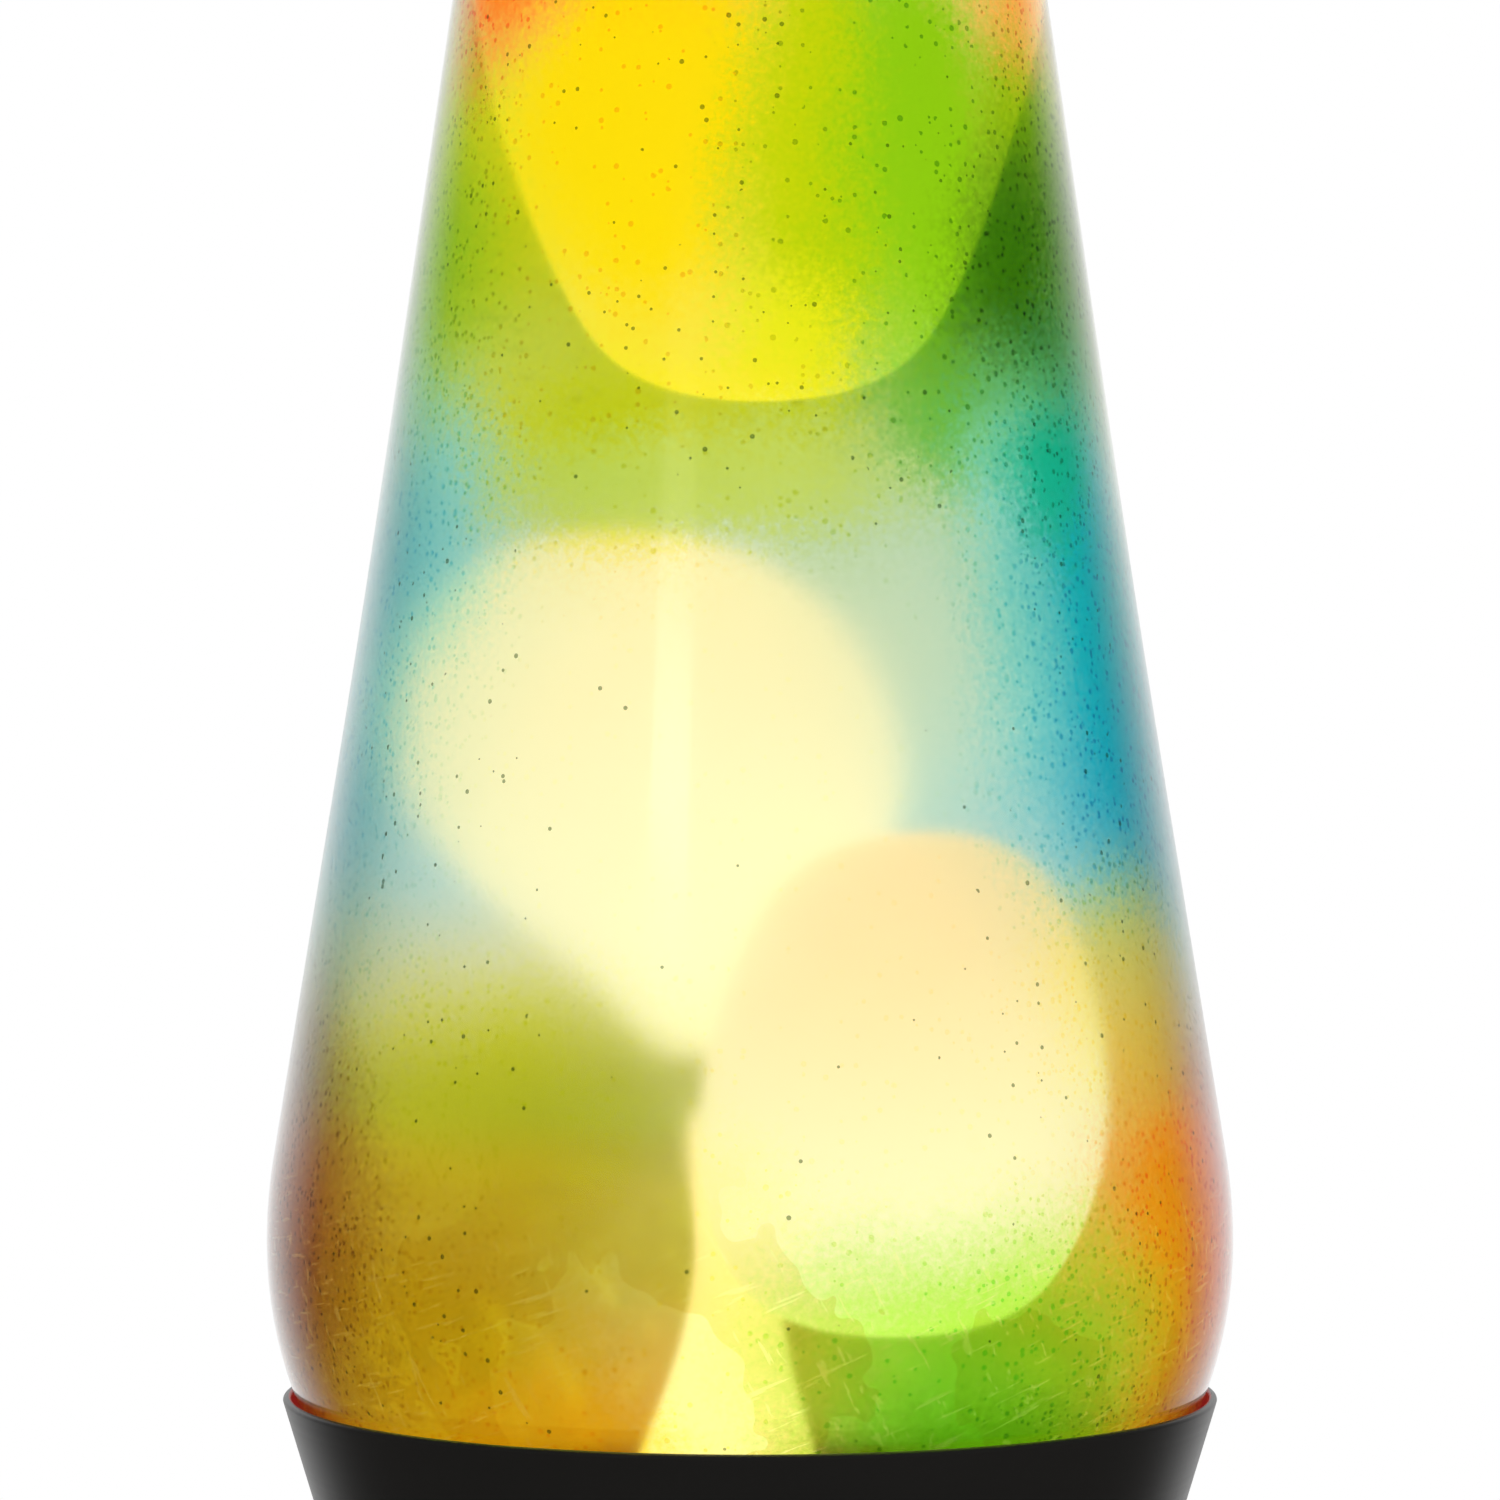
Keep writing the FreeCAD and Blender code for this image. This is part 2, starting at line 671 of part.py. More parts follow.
def globe_seat():
    """Stamped aluminium ring wedged in the base's upper cone. The globe stands on its ledge, and
    the hole lets the bulb's heat and light up to it."""
    low = SEAT_LEDGE_Z - SEAT_WALL
    slack = 0.1
    corners = [
        at(SEAT_HOLE_RADIUS, SEAT_LIP_Z),
        at(SEAT_HOLE_RADIUS, low),
        at(upper_cone_inside(low) - slack, low),
        at(upper_cone_inside(SEAT_TOP_Z) - slack, SEAT_TOP_Z),
    ]
    return spun_shell(corners, [1.0, 1.6], SEAT_WALL)


def seat_cushion():
    """Silicone ring on the seat's ledge, shaped to the globe's lower cone."""
    low = SEAT_LEDGE_Z
    high = low + CUSHION_HEIGHT
    gap = RUNNING_GAP / math.cos(HEEL_TAPER)
    outer = upper_cone_inside(low) - 2.2
    return spun_polygon(
        [
            (heel_cone(low) + gap, low),
            (outer, low),
            (outer, high - 0.6),
            (outer - 0.6, high),
            (heel_cone(high) + gap, high),
        ]
    )


# ---- globe --------------------------------------------------------------------------------------


def globe_radius(height):
    """The outer radius of the globe's long cone at a height."""
    if height < TAPER_CHANGE_Z:
        return GLOBE_RADIUS - (height - cone_start_z()) * math.tan(LOWER_TAPER)
    return globe_radius(TAPER_CHANGE_Z - 1e-9) - (height - TAPER_CHANGE_Z) * math.tan(UPPER_TAPER)


def cone_start_z():
    """The height where the long cone's line leaves the globe's greatest radius."""
    return GLOBE_WIDEST_Z + BELLY_ROUNDING_ABOVE * math.tan(LOWER_TAPER / 2)


def globe_corners():
    """The corners of the bottle's outer outline, from the middle of its bottom to its neck, and
    the rounding at each."""
    belly_low_z = GLOBE_WIDEST_Z - BELLY_ROUNDING_BELOW * math.tan(HEEL_TAPER / 2)
    bend_radius = globe_radius(TAPER_CHANGE_Z)
    shoulder_z = TAPER_CHANGE_Z + (bend_radius - SHOULDER_RADIUS) / math.tan(UPPER_TAPER)
    corners = [
        at(0, GLOBE_BOTTOM_Z + 2.2),
        at(9.0, GLOBE_BOTTOM_Z + 2.2),
        at(14.0, GLOBE_BOTTOM_Z),
        at(heel_cone(GLOBE_BOTTOM_Z), GLOBE_BOTTOM_Z),
        at(GLOBE_RADIUS, belly_low_z),
        at(GLOBE_RADIUS, cone_start_z()),
        at(bend_radius, TAPER_CHANGE_Z),
        at(SHOULDER_RADIUS, shoulder_z),
        at(NECK_RADIUS, shoulder_z + SHOULDER_HEIGHT),
        at(NECK_RADIUS, FINISH_TOP_Z),
    ]
    above = BELLY_ROUNDING_ABOVE
    radii = [5.0, 3.0, 6.0, BELLY_ROUNDING_BELOW, above, CONE_ROUNDING, 3.0, 3.0]
    return corners, radii


def bottle_inside(clearance=0.0):
    """The space inside the bottle, taken in by a clearance."""
    corners, radii = globe_corners()
    depth = GLOBE_WALL + clearance
    return spun_filled(moved_left(corners, depth), moved_radii(corners, radii, depth))


def globe_glass():
    """The glass bottle, open at its lip, with a bead for the crown cap."""
    corners, radii = globe_corners()
    outside = spun_filled(corners, radii)
    bead = tube(NECK_RADIUS - 0.5, LIP_RADIUS, FINISH_TOP_Z - 3.6, FINISH_TOP_Z)
    bead = softened(bead, 0.35, lambda edge: edge.BoundBox.XMax > LIP_RADIUS - 0.1)
    return fused([outside, bead]).cut(bottle_inside())


def crown_cap():
    """Crimped steel crown cap: a flat top and a fluted skirt that grips the bead."""
    skirt_low = FINISH_TOP_Z - 5.0
    top = FINISH_TOP_Z + CROWN_LINER_THICKNESS
    wall = 0.9
    shell = spun_polygon(
        [
            (0, top),
            (LIP_RADIUS - 0.8, top),
            (LIP_RADIUS + 0.1, top - 1.0),
            (LIP_RADIUS + 0.1, skirt_low + 1.2),
            (LIP_RADIUS + 0.9, skirt_low),
            (LIP_RADIUS + 0.9 + wall, skirt_low + 0.1),
            (LIP_RADIUS + 0.1 + wall, skirt_low + 2.0),
            (LIP_RADIUS + 0.1 + wall * 0.8, top - 0.9),
            (LIP_RADIUS - 0.9, top + 0.35),
            (0, top + 0.35),
        ]
    )
    flute = Part.makeCone(1.25, 0.1, 4.6, Vector(LIP_RADIUS + 2.0, 0, skirt_low - 0.2), AXIS)
    return shell.cut(Part.makeCompound(ring_of(flute, FLUTES)))


def crown_liner():
    """Soft disc that seals the lip under the crown cap."""
    return rod(LIP_RADIUS - 1.0, FINISH_TOP_Z, FINISH_TOP_Z + CROWN_LINER_THICKNESS - SEAM)


# ---- wax, coil and liquid -----------------------------------------------------------------------

def grown(corners, grow):
    """The corners of a drop's outline moved out by a distance, its ends along the axis."""
    middle = (corners[0][1] + corners[-1][1]) / 2
    moved = []
    for radius, height in corners:
        up = 1 if height > middle else -1
        level = height in (corners[0][1], corners[-1][1])
        moved.append((radius + (grow if radius else 0), height + (up * grow if level else 0)))
    return moved


def upper_wax(grow=0.0):
    """The large egg of wax, narrow end down, in the upper part of the globe."""
    corners = [
        (0, 215.4),
        (8.4, 215.4),
        (14.0, 223.0),
        (17.4, 238.0),
        (20.6, 252.0),
        (20.8, 270.0),
        (14.0, 284.0),
        (0, 284.0),
    ]
    return shifted(spun_drop(grown(corners, grow)), 0.6, 0.0)


def leaning_drop(corners, degrees, x, y):
    """A drop that leans about its lowest point, towards +X if the angle is positive."""
    low = min(height for _, height in corners)
    centre = Vector(0, 0, low)
    return shifted(turned(spun_drop(corners), degrees, centre, Vector(0, 1, 0)), x, y)


def middle_wax(grow=0.0):
    """The round blob at the left, which trails down to the column it left."""
    corners = [
        (0, 154.0),
        (2.6, 154.0),
        (5.2, 160.5),
        (11.5, 167.0),
        (17.8, 177.0),
        (16.9, 192.5),
        (8.0, 203.0),
        (0, 203.0),
    ]
    return leaning_drop(grown(corners, grow), -5.0, -4.2, MIDDLE_WAX_Y)


def right_wax(grow=0.0):
    """The tall blob in front of the column, at the right."""
    corners = [
        (0, 132.6),
        (8.8, 132.6),
        (14.6, 138.0),
        (17.0, 150.0),
        (14.8, 165.0),
        (9.2, 176.5),
        (0, 176.5),
    ]
    return leaning_drop(grown(corners, grow), 3.5, 11.0, RIGHT_WAX_Y)


def wax_column(grow=0.0):
    """The neck of wax that rises from the pool, wide where it leaves it."""
    corners = [
        (0, 151.0),
        (3.6, 151.0),
        (3.8, 145.0),
        (2.4, 137.0),
        (4.0, 128.0),
        (8.4, 117.0),
        (13.0, 106.0),
        (20.0, POOL_TOP_Z + 0.8),
        (25.0, POOL_TOP_Z - 1.2),
    ]
    side = [(radius + (grow if radius else 0), height + grow) for radius, height in corners]
    foot_z = POOL_TOP_Z - 3.0
    foot = [at(*side[-1]), at(side[-1][0], foot_z), at(0, foot_z), at(*side[0])]
    edges = [joined(a, b) for a, b in zip(foot, foot[1:])]
    return shifted(spun([smooth_curve(side)] + edges), COLUMN_X, COLUMN_Y)


def wax_pool():
    """Melted wax in the bottom of the bottle with its rising neck, clear of the glass and coil."""
    inside = bottle_inside(SEAM)
    pool = inside.common(rod(2 * GLOBE_RADIUS, 0, POOL_TOP_Z))
    return pool.fuse(wax_column().common(inside)).cut(wax_coil(SEAM))


def wax_coil(grow=0.0):
    """Ring-shaped wire coil on the bottle's floor, drawn as the tube it fills."""
    return Part.makeTorus(COIL_RADIUS, COIL_TUBE_RADIUS + grow, Vector(0, 0, COIL_Z), AXIS)


def liquid():
    """Clear liquid that fills the rest of the bottle, up to the air space in its neck."""
    filled = bottle_inside(SEAM).common(rod(2 * GLOBE_RADIUS, 0, FILL_Z))
    for wax in (upper_wax, middle_wax, right_wax):
        filled = filled.cut(wax(RUNNING_GAP))
    return filled.cut(wax_column(SEAM)).cut(rod(2 * GLOBE_RADIUS, 0, POOL_TOP_Z + SEAM))


# ---- cap ----------------------------------------------------------------------------------------


def top_cap():
    """Spun conical cap, closed at the top, whose lower edge rests on the globe's cone."""
    corners = [
        at(globe_radius(CAP_BOTTOM_Z) + CAP_GAP + CAP_WALL, CAP_BOTTOM_Z),
        at(CAP_TOP_RADIUS, TOTAL_HEIGHT),
        at(0, TOTAL_HEIGHT),
    ]
    shell = spun_shell(corners, [2.6], CAP_WALL)
    return softened(shell, 0.25, lambda edge: is_level_circle(edge, CAP_BOTTOM_Z, 1.0))


# ---- the whole lamp -----------------------------------------------------------------------------


def pieces():
    """Every piece of the lamp by name."""
    named = {
        "base_shell": base_shell(),
        "cord_grommet": cord_grommet(),
        "bottom_cover": bottom_cover(),
        "cover_screws": cover_screws(),
        "cover_nuts": cover_nuts(),
        "holder_bracket": holder_bracket(),
        "bracket_screws": bracket_screws(),
        "holder_rivets": holder_rivets(),
        "lampholder_body": lampholder_body(),
        "lampholder_shell": lampholder_shell(),
        "lampholder_contact": lampholder_contact(),
        "terminal_screws": terminal_screws(),
        "bulb_contact": bulb_contact(),
        "bulb_insulator": bulb_insulator(),
        "bulb_cap": bulb_cap(),
        "bulb_envelope": bulb_envelope(),
        "bulb_stem": bulb_stem(),
        "bulb_leads": bulb_leads(),
        "bulb_filament": bulb_filament(),
        "globe_seat": globe_seat(),
        "seat_cushion": seat_cushion(),
        "globe_glass": globe_glass(),
        "crown_cap": crown_cap(),
        "crown_liner": crown_liner(),
        "wax_coil": wax_coil(),
        "wax_pool": wax_pool(),
        "wax_blob_upper": upper_wax(),
        "wax_blob_middle": middle_wax(),
        "wax_blob_right": right_wax(),
        "liquid": liquid(),
        "top_cap": top_cap(),
    }
    for number, foot in enumerate(ring_of(rubber_foot(), FEET, 45.0), start=1):
        named[f"rubber_foot_{number}"] = foot
    return named


def main():
    os.makedirs("parts", exist_ok=True)
    for name, shape in pieces().items():
        if not shape.isValid():
            print("not valid:", name)
        print(f"{name}: {len(shape.Solids)} solid(s), {shape.Volume / 1000:.2f} cm3")
        shape.exportStep(f"parts/{name}.step")


main()
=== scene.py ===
import math

import bpy
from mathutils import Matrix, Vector, noise


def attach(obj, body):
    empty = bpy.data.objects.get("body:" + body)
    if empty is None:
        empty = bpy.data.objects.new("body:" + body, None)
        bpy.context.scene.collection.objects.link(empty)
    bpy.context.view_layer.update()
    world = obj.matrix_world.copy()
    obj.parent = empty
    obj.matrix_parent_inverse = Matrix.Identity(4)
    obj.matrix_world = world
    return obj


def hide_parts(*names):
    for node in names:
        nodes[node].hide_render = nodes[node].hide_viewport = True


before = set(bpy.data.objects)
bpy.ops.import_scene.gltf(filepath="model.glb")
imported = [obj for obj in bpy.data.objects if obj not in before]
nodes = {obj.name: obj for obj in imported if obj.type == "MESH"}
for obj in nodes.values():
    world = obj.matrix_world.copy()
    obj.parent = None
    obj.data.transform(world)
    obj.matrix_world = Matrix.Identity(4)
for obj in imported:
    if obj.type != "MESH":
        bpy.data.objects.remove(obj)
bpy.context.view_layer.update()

MM = 0.001


# ---- shader helper ------------------------------------------------------------------------------


class Surface:
    """A material under construction. Each method adds a node and returns its main output."""

    def __init__(self, name):
        self.material = bpy.data.materials.new(name)
        self.material.use_nodes = True
        self.tree = self.material.node_tree
        self.tree.nodes.clear()
        self.place = self.add("ShaderNodeTexCoord").outputs["Object"]
        self.output = self.add("ShaderNodeOutputMaterial")

    def add(self, kind, **settings):
        node = self.tree.nodes.new(kind)
        for key, value in settings.items():
            setattr(node, key, value)
        return node

    def feed(self, socket, value):
        """Links an output to the socket, or sets a constant on it."""
        if isinstance(value, bpy.types.NodeSocket):
            self.tree.links.new(value, socket)
        elif isinstance(value, (tuple, list)) and len(value) == 3 and socket.type == "RGBA":
            socket.default_value = (*value, 1.0)
        else:
            socket.default_value = value

    def math(self, operation, *values):
        node = self.add("ShaderNodeMath", operation=operation)
        for socket, value in zip(node.inputs, values):
            self.feed(socket, value)
        return node.outputs[0]

    def vector(self, operation, *values):
        node = self.add("ShaderNodeVectorMath", operation=operation)
        for socket, value in zip(node.inputs, values):
            self.feed(socket, value)
        scalar = operation in ("LENGTH", "DOT_PRODUCT", "DISTANCE")
        return node.outputs["Value"] if scalar else node.outputs["Vector"]

    def scaled(self, value, factor):
        """A vector times a number."""
        node = self.add("ShaderNodeVectorMath", operation="SCALE")
        self.feed(node.inputs[0], value)
        self.feed(node.inputs["Scale"], factor)
        return node.outputs["Vector"]

    def parts(self, value):
        """The x, y and z outputs of a vector."""
        node = self.add("ShaderNodeSeparateXYZ")
        self.feed(node.inputs[0], value)
        return node.outputs

    def joined(self, x, y, z):
        node = self.add("ShaderNodeCombineXYZ")
        for socket, value in zip(node.inputs, (x, y, z)):
            self.feed(socket, value)
        return node.outputs[0]

    def ramp(self, value, low, high, to_low=0.0, to_high=1.0):
        """A smooth step from to_low at low to to_high at high."""
        node = self.add("ShaderNodeMapRange", interpolation_type="SMOOTHSTEP")
        for socket, number in zip(node.inputs, (value, low, high, to_low, to_high)):
            self.feed(socket, number)
        return node.outputs[0]

    def mix(self, factor, a, b, blend="MIX"):
        node = self.add("ShaderNodeMix", data_type="RGBA", blend_type=blend)
        self.feed(node.inputs[0], factor)
        self.feed(node.inputs[6], a)
        self.feed(node.inputs[7], b)
        return node.outputs[2]

    def noise(self, scale, detail=2.0, roughness=0.5, place=None, colour=False):
        node = self.add("ShaderNodeTexNoise")
        self.feed(node.inputs["Vector"], place or self.place)
        node.inputs["Scale"].default_value = scale
        node.inputs["Detail"].default_value = detail
        node.inputs["Roughness"].default_value = roughness
        return node.outputs["Color" if colour else "Fac"]

    def droplets(self, scale):
        """Distance to the middle of the nearest droplet, and that droplet's random colour."""
        node = self.add("ShaderNodeTexVoronoi", feature="F1")
        self.feed(node.inputs["Vector"], self.place)
        node.inputs["Scale"].default_value = scale
        return node.outputs["Distance"], node.outputs["Color"]

    def bump(self, height, strength, distance):
        node = self.add("ShaderNodeBump")
        node.inputs["Strength"].default_value = strength
        node.inputs["Distance"].default_value = distance
        self.feed(node.inputs["Height"], height)
        return node.outputs[0]

    def principled(self, **inputs):
        """A principled shader. Each argument is an input's name, with _ for a space."""
        node = self.add("ShaderNodeBsdfPrincipled")
        for name, value in inputs.items():
            self.feed(node.inputs[name.replace("_", " ")], value)
        return node.outputs[0]

    def finish(self, shader):
        self.tree.links.new(shader, self.output.inputs["Surface"])
        return self.material


# ---- materials of the base and the cap ----------------------------------------------------------


def spin_lines(s, pitch=0.0007):
    """Fine rings round the lamp's axis, as a lathe tool leaves them."""
    x, y, z = s.parts(s.place)
    radius = s.vector("LENGTH", s.joined(x, y, 0.0))
    along = s.math("ADD", z, s.math("MULTIPLY", radius, 0.7))
    return s.noise(1.0, 2.0, 0.6, s.joined(s.math("MULTIPLY", along, 1 / pitch), 0.0, 0.0))


# Places in m.
BULB_CENTRE = (0.0, 0.0, 0.062)
RIM_START, RIM_END = 0.110, 0.116  # the heights between which the lacquer begins inside the base
ABOVE_BASE = 0.2  # and below the cap, which is bare inside up to its top


def black_lacquer():
    """Satin black lacquer on spun aluminium, which is bare inside, with the bulb's light painted on it
    as an emission. The lacquer turns over the base's rim, where a painted red reflection of the paint
    beside it glows on it."""
    s = Surface("black_lacquer")
    _, _, z = s.parts(s.place)
    grain = s.noise(2600.0, 3.0, 0.6)
    cloud = s.noise(26.0, 3.0)
    rings = spin_lines(s)
    colour = s.mix(cloud, (0.0085, 0.0078, 0.0070), (0.0135, 0.0122, 0.0108))
    rough = s.math("ADD", s.math("MULTIPLY", cloud, 0.08), s.math("MULTIPLY_ADD", rings, 0.05, 0.31))
    height = s.math("MULTIPLY_ADD", rings, 0.5, grain)
    inside = inward(s)
    rim = s.ramp(z, RIM_START, RIM_END)
    rim = s.math("MULTIPLY", rim, s.math("LESS_THAN", z, ABOVE_BASE))
    lacquer = s.principled(
        Base_Color=colour,
        Roughness=rough,
        Specular_IOR_Level=0.42,
        Coat_Weight=0.12,
        Coat_Roughness=0.22,
        # painted red reflection of the globe's paint on the lacquer inside the rim, given as an
        # emission
        Emission_Color=(0.50, 0.015, 0.02),
        Emission_Strength=s.math("MULTIPLY", s.math("MULTIPLY", inside, rim), 0.32),
        Normal=s.bump(height, 0.22, 0.00002),
    )
    bare = s.principled(
        Base_Color=s.mix(rings, (0.50, 0.47, 0.42), (0.72, 0.69, 0.64)),
        Metallic=0.9,
        Roughness=0.42,
        # painted light of the bulb, given as an emission on the bare metal
        Emission_Color=(1.0, 0.62, 0.16),
        Emission_Strength=painted_bulb_light(s),
        Normal=s.bump(rings, 0.3, 0.00003),
    )
    mixed = s.add("ShaderNodeMixShader")
    s.feed(mixed.inputs[0], s.math("MULTIPLY", inside, s.math("SUBTRACT", 1.0, rim)))
    s.feed(mixed.inputs[1], lacquer)
    s.feed(mixed.inputs[2], bare)
    return s.finish(mixed.outputs[0])


def inward(s):
    """1 where the surface faces the lamp's axis."""
    x, y, _ = s.parts(s.place)
    normal = s.add("ShaderNodeNewGeometry").outputs["True Normal"]
    towards = s.vector("DOT_PRODUCT", normal, s.vector("NORMALIZE", s.joined(x, y, 0.0)))
    return s.math("LESS_THAN", towards, -0.15)


def painted_bulb_light(s):
    """Painted light of the bulb on the surfaces round it, as an emission that is strongest near its
    glass.
    """
    away = s.vector("DISTANCE", s.place, BULB_CENTRE)
    return s.ramp(away, 0.012, 0.085, 1.0, 0.22)


def moulded(name, low, high, rough=0.5, grain=1800.0):
    """Moulded plastic or rubber with a fine spark-eroded grain."""
    s = Surface(name)
    cloud = s.noise(45.0, 4.0)
    fine = s.noise(grain, 3.0, 0.65)
    return s.finish(
        s.principled(
            Base_Color=s.mix(cloud, low, high),
            Roughness=s.math("MULTIPLY_ADD", fine, 0.18, rough - 0.09),
            Normal=s.bump(fine, 0.35, 0.00003),
        )
    )


def metal(name, low, high, rough=0.3, tarnish=(0.35, 0.33, 0.30)):
    """Drawn, plated or pressed metal with streaks, smudges and a little tarnish."""
    s = Surface(name)
    x, y, z = s.parts(s.place)
    lines = s.noise(900.0, 3.0, 0.6, s.joined(x, y, s.math("MULTIPLY", z, 0.12)))
    smudge = s.noise(160.0, 4.0, 0.6)
    colour = s.mix(lines, low, high)
    colour = s.mix(s.ramp(smudge, 0.52, 0.75, 0.0, 0.45), colour, tarnish)
    return s.finish(
        s.principled(
            Base_Color=colour,
            Metallic=1.0,
            Roughness=s.math("MULTIPLY_ADD", smudge, 0.25, rough - 0.12),
            Normal=s.bump(lines, 0.18, 0.00002),
        )
    )


def clear_glass(name, tint, rough=0.0, glow=0.0):
    """Thin clear glass with faint streaks. Its glow paints the filament's light into the glass as an
    emission.
    """
    s = Surface(name)
    waves = s.noise(120.0, 2.0)
    return s.finish(
        s.principled(
            Base_Color=s.mix(waves, tint, (1.0, 1.0, 1.0)),
            Roughness=rough,
            IOR=1.5,
            Transmission_Weight=1.0,
            # painted light of the filament in the glass
            Emission_Color=(1.0, 0.78, 0.42),
            Emission_Strength=glow,
            Normal=s.bump(waves, 0.1, 0.00005),
        )
    )


def hot_filament():
    """Glowing tungsten, a little uneven in colour."""
    s = Surface("hot_filament")
    turns = s.noise(3000.0, 2.0)
    return s.finish(
        s.principled(
            Base_Color=(0.2, 0.18, 0.16),
            Metallic=1.0,
            Roughness=0.4,
            Emission_Color=s.mix(turns, (1.0, 0.55, 0.18), (1.0, 0.72, 0.36)),
            Emission_Strength=18.0,
        )
    )


# ---- materials of the globe ---------------------------------------------------------------------

# Each spray: transmitted colour, azimuth (0 at the front, positive to the right), height in mm,
# half-width in degrees, half-height in mm, and strength. Later sprays lie over earlier ones.
SPRAYS = [
    # right round the globe
    ((0.90, 0.58, 0.03), 0, 128, 360, 22, 0.95),
    ((0.30, 0.74, 0.80), 0, 184, 360, 34, 0.90),
    ((0.62, 0.78, 0.05), 0, 232, 360, 26, 0.95),
    # sides
    ((0.92, 0.14, 0.16), 104, 134, 26, 26, 0.95),
    ((0.55, 0.75, 0.03), 136, 146, 26, 22, 0.90),
    ((0.02, 0.42, 0.78), 112, 184, 34, 24, 0.90),
    ((0.12, 0.62, 0.30), 128, 214, 28, 16, 0.85),
    ((1.00, 0.72, 0.01), 116, 246, 34, 18, 0.95),
    ((0.60, 0.10, 0.26), -108, 132, 30, 24, 0.95),
    ((0.96, 0.74, 0.02), -134, 150, 26, 18, 0.90),
    ((0.04, 0.50, 0.74), -106, 190, 30, 28, 0.90),
    ((0.10, 0.55, 0.14), -128, 222, 26, 20, 0.85),
    # back
    ((0.56, 0.72, 0.48), 180, 200, 36, 42, 1.00),
    ((0.86, 0.86, 0.30), 180, 246, 44, 16, 0.90),
    ((0.22, 0.46, 0.14), 151, 226, 20, 15, 0.95),
    ((0.78, 0.74, 0.28), 180, 158, 36, 8, 0.92),
    ((0.56, 0.56, 0.02), 186, 150, 34, 7, 1.00),
    ((0.39, 0.43, 0.001), 186, 143, 34, 9, 1.00),
    ((0.47, 0.34, 0.001), 198, 134, 22, 9, 1.00),
    ((0.50, 0.46, 0.001), 182, 134, 11, 9, 0.95),
    ((0.72, 0.38, 0.001), 190, 124, 20, 7, 1.00),
    ((0.96, 0.52, 0.02), 159, 146, 10, 14, 0.97),
    ((0.30, 0.62, 0.08), 166, 124, 13, 9, 0.97),
    # front
    ((0.99, 0.99, 0.93), -6, 176, 84, 62, 1.00),
    # upper front
    ((0.58, 0.74, 0.05), -56, 233, 22, 17, 0.95),
    ((0.96, 0.75, 0.002), -20, 243, 42, 38, 1.00),
    ((0.56, 0.68, 0.001), 14, 241, 20, 36, 1.00),
    ((0.28, 0.62, 0.006), 33, 240, 20, 33, 1.00),
    ((0.84, 0.84, 0.004), 5, 221, 14, 9, 0.85),
    ((0.92, 0.80, 0.006), -22, 214, 36, 10, 0.97),
    ((0.90, 0.92, 0.22), -10, 210, 40, 6, 0.80),
    ((0.30, 0.52, 0.001), 60, 243, 18, 14, 1.00),
    ((0.12, 0.32, 0.001), 53, 228, 18, 14, 1.00),
    ((0.40, 0.52, 0.12), 74, 228, 15, 18, 0.90),
    ((0.20, 0.62, 0.05), 44, 215, 20, 8, 0.95),
    ((1.00, 0.62, 0.004), -22, 264, 46, 12, 0.95),
    ((1.00, 0.24, 0.02), -60, 260, 26, 15, 1.00),
    ((1.00, 0.42, 0.10), 66, 261, 28, 15, 0.97),
    # middle of the front
    ((0.42, 0.84, 0.92), -58, 206, 18, 12, 0.90),
    ((0.30, 0.80, 0.96), -80, 192, 24, 34, 0.97),
    ((0.42, 0.88, 0.92), 46, 198, 14, 24, 0.90),
    ((0.00, 0.62, 0.84), 66, 193, 24, 31, 1.00),
    ((0.00, 0.60, 0.46), 56, 209, 13, 8, 0.95),
    # lower front
    ((0.94, 0.96, 0.10), -34, 152, 34, 14, 0.95),
    ((0.93, 0.84, 0.02), -44, 133, 34, 14, 0.95),
    ((1.00, 0.84, 0.04), -24, 124, 20, 9, 0.90),
    ((0.60, 0.44, 0.06), -58, 140, 14, 18, 0.80),
    ((0.44, 0.16, 0.11), -76, 140, 22, 24, 0.98),
    ((1.00, 0.50, 0.003), 63, 140, 19, 20, 1.00),
    ((1.00, 0.92, 0.30), 56, 163, 20, 12, 0.95),
    ((0.76, 0.20, 0.12), 84, 138, 20, 24, 0.98),
    ((1.00, 0.98, 0.86), 16, 157, 38, 18, 1.00),
    ((1.00, 0.99, 0.60), -4, 134, 14, 18, 0.95),
    ((0.50, 0.92, 0.12), 29, 132, 32, 13, 1.00),
    ((0.32, 0.70, 0.02), 28, 122, 26, 8, 0.95),
    ((0.50, 0.03, 0.03), -84, 116, 34, 10, 0.97),
    ((0.50, 0.03, 0.03), 84, 116, 34, 10, 0.97),
    # near the cap
    ((0.98, 0.16, 0.10), 0, 284, 360, 16, 0.95),
    ((0.72, 0.08, 0.36), 0, 304, 360, 16, 0.95),
]


